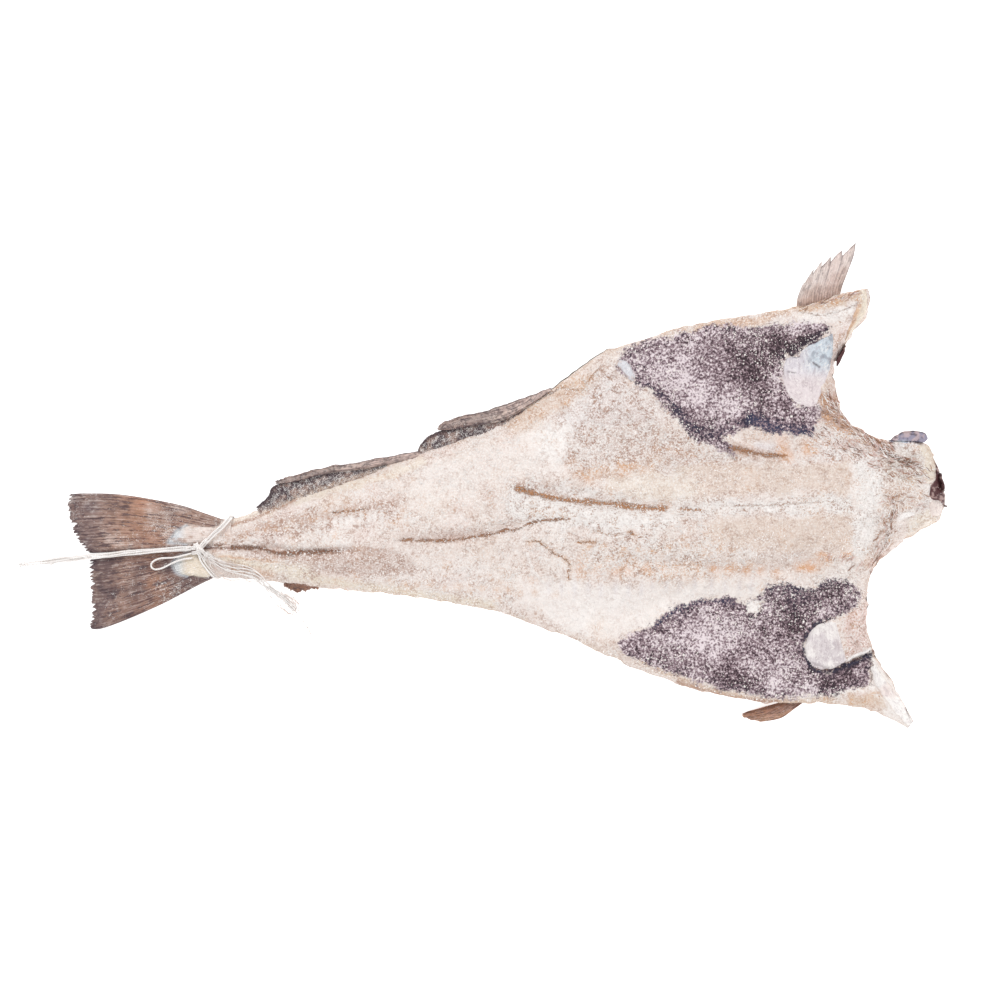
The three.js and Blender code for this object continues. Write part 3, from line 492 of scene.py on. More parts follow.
# The turns of the knot, and loose fibres that have worked out of the twine: points along each.
KNOT_TURNS = [
    [(-223.5, -44.6, 13.4), (-219, -44.5, 16), (-215, -44, 15.8), (-213, -43.9, 15)],
    [(-208.5, -38.5, 13.8), (-212, -42, 16.2), (-215, -46.8, 16.4), (-219, -47.8, 13.6)],
    [(-218, -42.5, 13.2), (-215, -43.2, 16.8), (-211.5, -46.2, 16.8), (-208.5, -50, 13.8)],
    [(-216, -41, 13.8), (-214.2, -44, 17.6), (-214, -47.8, 17), (-212.5, -51, 13.6)],
]
LONG_WISPS = [
    [(-296, -51.5, 6), (-304, -50, 4), (-303.5, -45, 3)],
    [(-298, -52, 5.5), (-310, -50.8, 3), (-318, -52, 2.2), (-327, -47, 1.6)],
    [(-306, -52.5, 3.6), (-318, -55, 2.2), (-324, -62, 1.6), (-319, -66.8, 1.4)],
    [(-312, -53, 2.6), (-325, -53.5, 1.8), (-342.5, -52.8, 1.4)],
    [(-302, -52.2, 4.6), (-313, -54.5, 2.4), (-329, -57.5, 1.8), (-343, -56.6, 1.4)],
    [(-295, -51.2, 6.6), (-303, -52.8, 4.2), (-311, -50.5, 2.6), (-316, -51.2, 2)],
    [(-290, -50.6, 7.2), (-299, -50.6, 5.2), (-308, -51.4, 3), (-320, -50, 1.6)],
]
SHORT_WISPS = [
    [(-150, -86, 1.8), (-146, -90.5, 1.6), (-140, -101, 1.4), (-133, -110.5, 1.2)],
    [(-166, -71.5, 6.2), (-160, -77.5, 3), (-150, -79, 2), (-146, -86, 1.4)],
    [(-164, -73.5, 5), (-159, -81, 2.4), (-154, -90, 1.6), (-149, -88.5, 1.4)],
    [(-170, -68, 9.2), (-165, -77, 4), (-159, -84, 2), (-152, -92, 1.4)],
    [(-210, -48, 15), (-203, -56, 15.6), (-195, -61.5, 15.2), (-185, -66.8, 12), (-175, -70, 8)],
    [(-211, -49, 15), (-205, -59, 15.4), (-198, -65, 14), (-188, -70, 8.5)],
    [(-209, -47, 15.2), (-202, -53, 15.8), (-192, -56.5, 15.6), (-182, -59, 14.4), (-172, -64, 11.8)],
    [(-156, -79, 2.2), (-150, -85, 1.6), (-147, -80, 1.4), (-144, -84, 1.4)],
    [(-158, -78, 2.6), (-152, -80, 3), (-150, -85, 1.6), (-145, -88, 1.4)],
    [(-162, -74.5, 4), (-157, -76.5, 2.4), (-154.5, -82.5, 1.6), (-147.5, -83.5, 1.6),
     (-146.5, -89.5, 1.4)],
    [(-161, -76, 3.4), (-155, -77.5, 2.4), (-153.5, -84.5, 1.6), (-148, -85, 1.6), (-150, -90.5, 1.4)],
]


# ---- settings a user would change


def srgb(red, green, blue):
    """A colour given as 0 to 255 on screen, as linear light."""
    value = np.array((red, green, blue)) / 255
    return tuple(np.where(value <= 0.04045, value / 12.92, ((value + 0.055) / 1.055) ** 2.4))


def tint(name, description, *rgb):
    return FloatVectorProperty(
        name=name, description=description, default=srgb(*rgb), min=0, max=1, size=3, subtype="COLOR"
    )


def length(name, description, default):
    return FloatProperty(name=name, description=description, default=default, min=0, unit="LENGTH")


class DriedCodColours(bpy.types.PropertyGroup):
    """Colours of the dried flesh, skin, lining, fins and twine."""

    flesh: tint("Flesh", "Plain dried flesh", 231, 217, 210)
    beige: tint("Beige", "Smooth, less salted flesh of the loins", 222, 203, 190)
    white: tint("Salt crust", "Thick crust of salt", 248, 243, 240)
    cream: tint("Cream", "Creamy fat and bone at the nape and collar", 233, 220, 202)
    tan: tint("Tan", "Rims of the belly flaps", 206, 180, 158)
    ochre: tint("Ochre", "Yellow-brown stains", 212, 166, 128)
    orange: tint("Orange", "Strongest fat stains", 221, 160, 116)
    rose: tint("Rose", "Pinkish flesh", 222, 192, 184)
    speckle: tint("Speckle", "Greyish brown, coarse flesh", 192, 166, 155)
    brown: tint("Brown", "Torn brown fibres", 168, 124, 100)
    rust: tint("Rust", "Dried blood along the backbone", 194, 138, 96)
    # Umber is also the painted shade in the cracks of the flesh.
    umber: tint("Umber", "Dark line of cuts and cracks", 134, 100, 86)
    # Painted shade: the colour laid in the crevices between the grains of the flesh.
    crevice_shade: tint("Crevice", "Grey-brown depth between grains of the flesh", 172, 141, 128)
    olive: tint("Olive", "Grey-green flesh of the nape", 172, 164, 146)
    lining: tint("Belly lining", "Black lining of the belly", 50, 33, 41)
    lining_mid: tint("Lining under salt", "Lining seen through thin salt", 142, 118, 126)
    lining_salt: tint("Salt on lining", "Salt dusted over the lining", 234, 221, 225)
    lining_blue: tint("Blue lining", "Bluish parts of the lining", 56, 58, 84)
    film: tint("Membrane", "Thin pale membrane", 228, 222, 226)
    film_blue: tint("Blue membrane", "Bluish sheen of thin membrane", 204, 214, 223)
    bladder: tint("Bladder flap", "White fibrous flap", 212, 203, 205)
    skin: tint("Skin", "Outer skin of the back", 126, 116, 108)
    skin_pale: tint("Pale skin", "Outer skin of the belly", 196, 186, 174)
    skin_dark: tint("Dark skin", "Dark skin at the nape", 82, 44, 46)
    skin_blue: tint("Blue skin", "Grey-blue skin at the nape", 150, 144, 164)
    fin: tint("Fin", "Fin membrane", 162, 132, 119)
    fin_dark: tint("Dark fin", "Dark fin edges and creases", 72, 54, 60)
    fin_brown: tint("Brown fin", "Reddish brown middle of the fins", 190, 142, 118)
    fin_pale: tint("Pale fin", "Pale pectoral fin", 226, 212, 206)
    twine: tint("Twine", "Cotton twine", 255, 252, 250)
    # The twine dirt colour is also the painted shade between the twine's plies.
    twine_dirt_and_shade: tint("Twine dirt", "Soiled twine ends", 196, 166, 150)


class DriedCodSizes(bpy.types.PropertyGroup):
    """Sizes of the relief and of the small pieces."""

    crust: length("Crust", "Height of the salt crust's grain", 0.00035)
    flake: length("Flake", "Height of the flakes in the flesh", 0.0003)
    lining_wrinkle: length("Lining wrinkle", "Height of the wrinkles in the belly lining", 0.0006)
    crystal: length("Crystal", "Mean size of a loose salt crystal", 0.00042)
    skin: length("Skin", "Thickness of the skin", 0.0008)
    ray: length("Ray", "Height of a fin ray over its membrane", 0.00025)
    ply: length("Ply", "Radius of one ply of the twine", 0.0006)
    fibre: length("Fibre", "Radius of a loose fibre", 0.00016)
    crystals: IntProperty(name="Crystals", description="Number of loose salt crystals", default=15000, min=0)
    rays: IntProperty(name="Rays", description="Number of rays in the tail fin", default=46, min=4)


def settings(context):
    return context.scene.dried_cod_sizes, context.scene.dried_cod_colours


# ---- curves and fields


def through(pairs):
    """A smooth function through (x, y) pairs; each slope comes from the pair's neighbours."""
    xs, ys = np.array(pairs, float).T
    last = len(xs) - 1
    before = np.maximum(np.arange(len(xs)) - 1, 0)
    after = np.minimum(np.arange(len(xs)) + 1, last)
    slopes = (ys[after] - ys[before]) / (xs[after] - xs[before])

    def value(x):
        i = np.clip(np.searchsorted(xs, x) - 1, 0, last - 1)
        span = xs[i + 1] - xs[i]
        t = np.clip((x - xs[i]) / span, 0, 1)
        bend = t * (1 - t) * span * ((1 - t) * slopes[i] - t * slopes[i + 1])
        return ys[i] + (ys[i + 1] - ys[i]) * t * t * (3 - 2 * t) + bend

    return value


def curve_through(points):
    """A smooth curve through points, asked for by numbers from 0 to 1."""
    points = np.array(points, float)
    last = len(points) - 1

    def value(t):
        place = np.clip(np.asarray(t, float), 0, 1) * last
        i = np.minimum(place.astype(int), last - 1)
        w = (place - i)[..., None]
        p0, p1 = points[np.maximum(i - 1, 0)], points[i]
        p2, p3 = points[i + 1], points[np.minimum(i + 2, last)]
        v0, v1 = (p2 - p0) / 2, (p3 - p1) / 2
        cubic = (2 * p1 - 2 * p2 + v0 + v1) * w**3 + (3 * p2 - 3 * p1 - 2 * v0 - v1) * w**2
        return cubic + v0 * w + p1

    return value


def curves(*lines):
    """Curves through lines of points given in millimetres."""
    return [curve_through(mm(line)) for line in lines]


def ease(x, start, end):
    """0 before start and 1 after end, with a smooth rise or fall between them."""
    t = np.clip((x - start) / (end - start), 0, 1)
    return t * t * (3 - 2 * t)


def bell(distance, width):
    return np.exp(-((distance / width) ** 2))


def blend(a, b, share):
    return a + (b - a) * share


def columns(*parts):
    """Numbers, or one number for all, side by side: a row for each point."""
    return np.stack(np.broadcast_arrays(*parts), 1)


def to_ends(share):
    """Distance from the nearer end of 0 to 1."""
    return np.minimum(share, 1 - share)


def rounded(rim, least):
    """Share of the full thickness at a rounded rim, which is 0 at the very edge and 1 inside."""
    return np.sqrt(rim * (2 - rim)).clip(least)


def noise(x, y, cell, seed, octaves=1):
    """Smooth noise of about -1 to 1 with cells of the given size, each octave at half the size.

    A single number for y gives the noise along one line of it.
    """
    total = 0
    for octave in range(octaves):
        size = cell / 2**octave
        turn = 0.6 + seed + 1.3 * octave
        across = (x * np.cos(turn) - y * np.sin(turn)) / size
        along = (x * np.sin(turn) + y * np.cos(turn)) / size
        table = np.random.default_rng(seed * 17 + octave).uniform(-1, 1, (TABLE, TABLE))
        i, j = np.floor(across).astype(int), np.floor(along).astype(int)
        s, t = across - i, along - j
        s, t = s * s * (3 - 2 * s), t * t * (3 - 2 * t)
        i, j, next_i, next_j = i % TABLE, j % TABLE, (i + 1) % TABLE, (j + 1) % TABLE
        near, far = blend(table[i, j], table[next_i, j], s), blend(table[i, next_j], table[next_i, next_j], s)
        total = total + blend(near, far, t) / 2**octave
    return total


def patches(x, y, cell, seed, octaves, low, high):
    """Soft-edged patches of noise: 0 where the noise is under low and 1 where it is over high."""
    return ease(noise(x, y, cell, seed, octaves), low, high)


def strayed(x, y, reach, cell, seed, octaves):
    """The same places, each moved a little by noise, to make straight borders ragged."""
    return x + reach * noise(x, y, cell, seed, octaves), y + reach * noise(x, y, cell, seed + 1, octaves)


def to_line(points, x, y):
    """Distance from each place to a line through points."""
    points = np.array(points, float)
    nearest = np.full(np.shape(x), np.inf)
    for (ax, ay), (bx, by) in zip(points[:-1], points[1:]):
        dx, dy = bx - ax, by - ay
        t = np.clip(((x - ax) * dx + (y - ay) * dy) / (dx * dx + dy * dy), 0, 1)
        nearest = np.minimum(nearest, np.hypot(x - ax - t * dx, y - ay - t * dy))
    return nearest


def inside(outline, x, y):
    """Distance to a closed outline, above 0 inside it and below 0 outside."""
    ring = np.vstack([outline, outline[:1]])
    odd = np.zeros(np.shape(x), bool)
    for (ax, ay), (bx, by) in zip(ring[:-1], ring[1:]):
        if ay != by:
            odd ^= ((ay > y) != (by > y)) & (x < (bx - ax) * (y - ay) / (by - ay) + ax)
    return np.where(odd, 1, -1) * to_line(ring, x, y)


# ---- form of the body

upper_edge, lower_edge, backbone = through(UPPER_EDGE), through(LOWER_EDGE), through(BACKBONE)
upper_neck, lower_neck = curve_through(UPPER_NECK), curve_through(LOWER_NECK)
loin_depth, flap_depth, edge_lift = through(LOIN_DEPTH), through(FLAP_DEPTH), through(EDGE_LIFT)
upper_loin_reach, lower_loin_reach = through(UPPER_LOIN_REACH), through(LOWER_LOIN_REACH)
TAIL_ROOT = UPPER_EDGE[0][0]


def outwards(x, y):
    """Share of the way from the backbone line to the edge."""
    middle = backbone(x)
    edge = np.where(y > middle, upper_edge(x), lower_edge(x))
    return np.clip((y - middle) / (edge - middle), 0, 1)


def flesh_depth(x, y):
    offset = y - backbone(x)
    reach = np.where(offset > 0, upper_loin_reach(x), lower_loin_reach(x))
    swell = (1 - np.minimum(np.abs(offset) / reach, 1) ** 2) ** 1.3
    return blend(flap_depth(x), loin_depth(x), swell)


def groove_depth(x, y):
    total = 0
    for course, ends, depth, width in GROOVES:
        start, end = mm(ends)
        fade = ease(x, start, start + GROOVE_FADE) * (1 - ease(x, end - GROOVE_FADE, end))
        total = total + depth * MM * fade * bell(y - through(mm(course))(x), width * MM)
    return total


def underside(x, y):
    out = ease(outwards(x, y), 0.5, 1)
    wave = FLAP_WAVE * out * ease(x, 0.02, 0.09) * (1 + np.sin(x / 0.017))
    tail = TAIL_LIFT * (1 - ease(x, TAIL_ROOT, TAIL_ROOT + 0.08))
    return out * edge_lift(x) + wave + tail + NAPE_LIFT * ease(x, 0.262, 0.3)


def flesh_top(x, y, to_edge, to_neck):
    thin = 1 - 0.45 * np.maximum(bell(to_edge, RIM_ROUND), bell(to_neck, RIM_ROUND))
    outer = ease(np.abs(y - backbone(x)), 0.05, 0.075)
    collar = COLLAR_RIDGE * outer * bell(to_neck - COLLAR_WIDTH, COLLAR_WIDTH)
    return underside(x, y) + (flesh_depth(x, y) - groove_depth(x, y)) * thin + collar


def crowd(share):
    """Rows drawn together towards the rim, where the flesh rounds off."""
    return share + 0.6 * share**6 * (1 - share)


def body_place(u, v):
    """Place from the tail root (u = 0) to the neck, and from the lower edge (v = 0) to the upper."""
    u, q, upper = crowd(u), crowd(np.abs(2 * v - 1)), v > 0.5
    corner_x, corner_y = (np.where(upper, UPPER_NECK[-1][k], LOWER_NECK[-1][k]) for k in range(2))
    nape_x, nape_y = UPPER_NECK[0]
    edge_x, middle_x = blend(TAIL_ROOT, corner_x, u), blend(TAIL_ROOT, nape_x, u)
    line = np.where(upper, upper_edge(edge_x), lower_edge(edge_x))
    cut = np.where(upper[:, None], upper_neck(q), lower_neck(q))
    pull = u**NECK_PULL
    x = blend(middle_x, edge_x, q) + pull * (cut[:, 0] - blend(nape_x, corner_x, q))
    y = blend(backbone(middle_x), line, q) + pull * (cut[:, 1] - blend(nape_y, corner_y, q))
    to_edge = (1 - q) * np.abs(line - backbone(middle_x))
    to_neck = (1 - u) * (cut[:, 0] - TAIL_ROOT)
    return x, y, to_edge, to_neck


def ragged_body(u, v):
    """Places as above, but the rim wanders in and out a little, more so where the head was torn off."""
    x, y, to_edge, to_neck = body_place(u, v)
    wander = (0.0009 * noise(x, y, 0.0055, 3, 3) + 0.0006 * noise(x, y, 0.022, 5)) * bell(to_edge, 0.005)
    torn = 0.0017 * noise(x, y, 0.0045, 4, 3) * bell(to_neck, 0.006)
    return x + torn, y + np.sign(y - backbone(x)) * wander, to_edge, to_neck


def rim_shape(x, y, to_edge, to_neck):
    """Height of the rim's middle, and how far the surface has swung away from it: 0 to 1."""
    depth = flesh_depth(x, y) * RIM_DEPTH
    radius = np.clip(depth * 0.55, 0.0012, 0.0035)
    share = np.clip(np.minimum(to_edge, to_neck) / radius, 0, 1)
    return underside(x, y) + depth * 0.5, np.sqrt(np.clip(1 - (1 - share) ** 2, 0, 1))


# ---- meshes


def select_only(*objects):
    bpy.ops.object.select_all(action="DESELECT")
    for item in objects:
        item.select_set(True)
    bpy.context.view_layer.objects.active = objects[0]


def read_points(item):
    points = np.empty(len(item.data.vertices) * 3)
    item.data.vertices.foreach_get("co", points)
    return points.reshape(-1, 3)


def named(item, name):
    item.name = name
    item.data.name = name
    return item


def join(name, items):
    select_only(*items)
    if len(items) > 1:
        bpy.ops.object.join()
    return named(items[0], name)


def keep_values(item, **values):
    """Stores vectors on a mesh's points, for its material to read."""
    for name, data in values.items():
        kept = item.data.attributes.new(name, "FLOAT_VECTOR", "POINT")
        kept.data.foreach_set("vector", np.asarray(data, np.float32).ravel())


def add_mesh(name, points, faces):
    mesh = bpy.data.meshes.new(name)
    mesh.from_pydata(points.tolist(), [], faces)
    item = bpy.data.objects.new(name, mesh)
    bpy.context.scene.collection.objects.link(item)
    return item


def add_grid(steps, place, side):
    """A grid primitive, its points moved to place(u, v, side) and the values given there kept."""
    bpy.ops.object.select_all(action="DESELECT")
    bpy.ops.mesh.primitive_grid_add(x_subdivisions=steps[0], y_subdivisions=steps[1], size=1)
    grid = bpy.context.active_object
    u, v = (read_points(grid)[:, :2] + 0.5).T
    points, values = place(np.clip(u, 0, 1), np.clip(v, 0, 1), side)
    grid.data.vertices.foreach_set("co", columns(*points).ravel())
    keep_values(grid, **values)
    return grid


def face_outwards():
    """Turns the faces of the active mesh outwards and leaves edit mode."""
    bpy.ops.mesh.select_all(action="SELECT")
    bpy.ops.mesh.normals_make_consistent(inside=False)
    bpy.ops.object.mode_set(mode="OBJECT")


def add_sheet(name, steps, place, coarse=1):
    """A closed sheet: a grid above, a grid below with 1/coarse of its steps, and a bridge between."""
    above = add_grid(steps, place, 1)
    below = add_grid((steps[0] // coarse, steps[1] // coarse), place, -1)
    select_only(above, below)
    bpy.ops.object.join()
    bpy.ops.object.mode_set(mode="EDIT")
    bpy.ops.mesh.select_mode(type="EDGE")
    bpy.ops.mesh.select_all(action="DESELECT")
    bpy.ops.mesh.select_non_manifold(
        use_wire=False, use_multi_face=False, use_non_contiguous=False, use_verts=False
    )
    bpy.ops.mesh.bridge_edge_loops()
    face_outwards()
    return named(above, name)


def finish_piece(context, item, material, node="cod", smooth=True):
    """Shades a piece, gives it its material and ties it to the frame."""
    select_only(item)
    if smooth:
        bpy.ops.object.shade_smooth()
    item.data.materials.clear()
    item.data.materials.append(material_of(context, material))
    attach(item, BODY)
    if node:
        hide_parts(node)


class Ground:
    """The modelled flesh, asked how high it lies at any place."""

    def __init__(self):
        item = bpy.data.objects["cod_flesh"]
        faces = [tuple(face.vertices) for face in item.data.polygons]
        self.tree = BVHTree.FromPolygons(read_points(item).tolist(), faces)

    def height(self, x, y):
        """Height under each place, and whether there is flesh there; beyond the rim, the rim's height."""
        level, covered = np.empty(len(x)), np.empty(len(x), bool)
        for k, (here_x, here_y) in enumerate(zip(x, y)):
            hit = self.tree.ray_cast((here_x, here_y, 1.0), (0, 0, -1.0))[0]
            covered[k] = hit is not None
            level[k] = (hit or self.tree.find_nearest((here_x, here_y, 0.02))[0]).z
        return level, covered


def patch_place(u, v, rear, front, lower, upper):
    """A surface patch between four curves that share their corners: Coons' bilinear blend."""
    u, v = np.asarray(u)[..., None], np.asarray(v)[..., None]
    across = blend(rear(v[..., 0]), front(v[..., 0]), u)
    along = blend(lower(u[..., 0]), upper(u[..., 0]), v)
    ends = blend(blend(rear(0.0), front(0.0), u), blend(rear(1.0), front(1.0), u), v)
    return across + along - ends


def run_along(path):
    """Distance along a path at each of its points."""
    return np.concatenate([[0], np.cumsum(np.linalg.norm(np.diff(path, axis=0), axis=1))])


def side_of(path):
    """The level direction across a path at each of its points."""
    side = np.cross(np.gradient(path, axis=0), (0, 0, 1.0))
    return side / np.maximum(np.linalg.norm(side, axis=1), TINY)[:, None]


def fine_path(points, spacing):
    """Points at even steps along the smooth curve through the given points."""
    dense = curve_through(points)(np.linspace(0, 1, len(points) * 24))
    run = run_along(dense)
    at = np.linspace(0, run[-1], max(int(run[-1] / spacing), 2) + 1)
    return np.stack([np.interp(at, run, dense[:, k]) for k in range(3)], 1)


def tube(name, path, radius, sides=8, lobes=0, lobe_depth=0.0, twist=0.0, dirt=0.0):
    """A closed tube along a path, with plies that twist round it where it has lobes."""
    out, run = side_of(path), run_along(path)
    ahead = np.gradient(path, axis=0)
    up = np.cross(out, ahead / np.linalg.norm(ahead, axis=1)[:, None])
    angles = 2 * pi * np.arange(sides) / sides
    turned = angles[None, :] + twist * run[:, None]
    swell = np.broadcast_to(radius, len(path))[:, None] * (1 + lobe_depth * np.cos(lobes * turned))
    ring = out[:, None] * np.cos(angles)[None, :, None] + up[:, None] * np.sin(angles)[None, :, None]
    points = (path[:, None] + ring * swell[..., None]).reshape(-1, 3)
    i, j = np.meshgrid(np.arange(len(path) - 1), np.arange(sides), indexing="ij")
    a, b = i * sides + j, i * sides + (j + 1) % sides
    faces = np.stack([a, b, b + sides, a + sides], -1).reshape(-1, 4).tolist()
    faces.append(list(range(sides))[::-1])
    faces.append([(len(path) - 1) * sides + k for k in range(sides)])
    item = add_mesh(name, points, faces)
    along, around = np.repeat(run, sides), np.tile(angles, len(path))
    keep_values(item, strand=columns(along, around, dirt * along / run[-1]))
    return item


# ---- painting masks


class Paint:
    """Colours of points, built up by one call for each coat."""

    def __init__(self, colours, base, count):
        self.colours = colours
        self.value = np.tile(np.array(getattr(colours, base)), (count, 1))

    def __call__(self, name, share):
        colour = np.array(getattr(self.colours, name))
        share = np.broadcast_to(np.clip(share, 0, 1), len(self.value))
        self.value = blend(self.value, colour, share[:, None])


def spot(x, y, centre_x, centre_y, along, across, turn=0):
    turn = turn * pi / 180
    dx, dy = x - centre_x, y - centre_y
    run = (dx * np.cos(turn) + dy * np.sin(turn)) / along
    side = (dy * np.cos(turn) - dx * np.sin(turn)) / across
    return np.exp(-(run**2) - side**2)


def row_of_spots(x, y, start, end, pitch, along, across):
    """Spots at even steps along a line, each moved a little off it."""
    start, end = mm(start), mm(end)
    count = int(np.hypot(*(end - start)) / (pitch * MM))
    shift = np.random.default_rng(count).normal(0, 0.0009, (count + 1, 2))
    total = np.zeros(np.shape(x))
    for step in range(count + 1):
        centre = blend(start, end, step / count) + shift[step]
        total = np.maximum(total, spot(x, y, *centre, along * MM, across * MM))
    return total


# ---- shader nodes


class Signal:
    """An output of a shader node. Sums, differences and products of signals become math nodes."""

    def __init__(self, board, socket):
        self.board, self.socket = board, socket

    def __add__(self, other):
        return self.board.math("ADD", self, other)

    def __sub__(self, other):
        return self.board.math("SUBTRACT", self, other)

    def __rsub__(self, other):
        return self.board.math("SUBTRACT", other, self)

    def __mul__(self, other):
        return self.board.math("MULTIPLY", self, other)

    def __rtruediv__(self, other):
        return self.board.math("DIVIDE", other, self)

    __radd__, __rmul__ = __add__, __mul__


class Board:
    """Adds shader nodes to one tree, fills their inputs and links them."""

    def __init__(self, tree):
        self.tree = tree

    def put(self, socket, value):
        if isinstance(value, Signal):
            self.tree.links.new(value.socket, socket)
        elif socket.type == "RGBA":
            socket.default_value = (*value[:3], 1)
        else:
            socket.default_value = value

    def node(self, kind, inputs=(), **values):
        """The outputs of a new node; the values are its own settings, set before its inputs."""
        node = self.tree.nodes.new("ShaderNode" + kind)
        for key, value in values.items():
            setattr(node, key, value)
        for key, value in dict(inputs).items():
            self.put(node.inputs[key], value)
        return [Signal(self, output) for output in node.outputs]

    def math(self, operation, first, second=0.0):
        return self.node("Math", {0: first, 1: second}, operation=operation)[0]

    def mix(self, share, first, second):
        return self.node("Mix", {0: share, 6: first, 7: second}, data_type="RGBA", clamp_factor=True)[2]

    def step(self, value, low, high):
        """0 below low and 1 above high, eased between them."""
        inputs = {"Value": value, "From Min": low, "From Max": high}
        return self.node("MapRange", inputs, interpolation_type="SMOOTHSTEP")[0]

    def ramp(self, value, low, high):
        """0 below low and 1 above high, with an even slope between them."""
        return self.node("MapRange", {"Value": value, "From Min": low, "From Max": high})[0]

    def noise(self, place, scale, detail=2.0, roughness=0.5):
        inputs = {"Vector": place, "Scale": scale, "Detail": detail, "Roughness": roughness}
        return self.node("TexNoise", inputs)[0]

    def vector(self, x, y, z=0.0):
        return self.node("CombineXYZ", {0: x, 1: y, 2: z})[0]

    def split(self, name):
        """The three parts of a vector kept on the mesh."""
        return self.node("SeparateXYZ", {0: self.node("Attribute", attribute_name=name)[1]})

    def tint(self):
        return self.node("Attribute", attribute_name="tint")[0]

    def place(self):
        return self.node("TexCoord")[3]

    def bump(self, height, distance, strength, under=None):
        inputs = {"Height": height, "Distance": distance, "Strength": strength}
        if under:
            inputs["Normal"] = under
        return self.node("Bump", inputs)[0]

    def group(self, name, **inputs):
        return self.node("Group", inputs, node_tree=shared_group(name))


def grain_nodes(board, place, size, amount):
    """Fine grains of salt: a mask of the grains and their height."""
    scale = 1.0 / size
    grain = board.noise(place, scale, 2.0, 0.7)
    field = grain + (board.noise(place, scale * 0.22, 2.0, 0.6) - 0.5) * 0.5
    edge = 0.7 - amount * 0.3
    mask = board.step(field, edge, edge + 0.1)
    return mask, mask * 0.6 + grain


def mottle_nodes(board, place, colour, size, strength):
    """Uneven drying: a colour made lighter, darker, warmer and cooler in patches, and its height."""
    scale = 1.0 / size
    fine = board.noise(place, scale, 4.0, 0.65)
    broad = board.noise(place, scale * 0.17, 3.0, 0.6)
    warm = board.noise(place, scale * 0.55, 3.0, 0.6)
    both = fine * 0.65 + broad * 0.35
    level, heat = (both - 0.5) * strength, (warm - 0.5) * strength
    inputs = {"Hue": 0.5 - heat * 0.03, "Saturation": 1.0 - level * 1.4, "Value": 1.0 + level * 2.0}
    return board.node("HueSaturation", {**inputs, "Color": colour})[0], both


def ray_nodes(board, along, across, count, waver):
    """Streaks along fin rays or fibres: masks of the dark and of the pale ones, and their height."""
    drift = board.noise(board.vector(along * 3.0, across), 9.0, 2.0)
    across = (across + (drift - 0.5) * waver) * count
    along = along * 3.2
    streak = board.noise(board.vector(along, across), 1.0, 5.0, 0.62)
    patch = board.noise(board.vector(along * 3.4, across * 0.34, 7.0), 1.0, 3.0, 0.6)
    field = streak * 0.7 + patch * 0.3
    return board.step(field, 0.5, 0.42), board.step(field, 0.53, 0.62), field


# Shader node groups that several materials share: inputs, outputs and what fills them.
GROUPS = {
    "Salt Grain": (("Place", "Size", "Amount"), ("Mask", "Height"), grain_nodes),
    "Dried Mottle": (("Place", "Colour", "Size", "Strength"), ("Colour", "Height"), mottle_nodes),
    "Rays": (("Along", "Across", "Count", "Waver"), ("Dark", "Pale", "Height"), ray_nodes),
}
SOCKETS = {"Place": "NodeSocketVector", "Colour": "NodeSocketColor"}


def shared_group(name):
    """The node group of that name, built the first time it is asked for."""
    tree = bpy.data.node_groups.get(name)
    if tree:
        return tree
    tree = bpy.data.node_groups.new(name, "ShaderNodeTree")
    inputs, outputs, fill = GROUPS[name]
    for direction, labels in (("INPUT", inputs), ("OUTPUT", outputs)):
        for label in labels:
            kind = SOCKETS.get(label, "NodeSocketFloat")
            tree.interface.new_socket(label, in_out=direction, socket_type=kind)
    board = Board(tree)
    entry, leave = tree.nodes.new("NodeGroupInput"), tree.nodes.new("NodeGroupOutput")
    results = fill(board, *[Signal(board, entry.outputs[label]) for label in inputs])
    for label, value in zip(outputs, results):
        board.put(leave.inputs[label], value)
    return tree


# ---- materials: what each puts in its shader


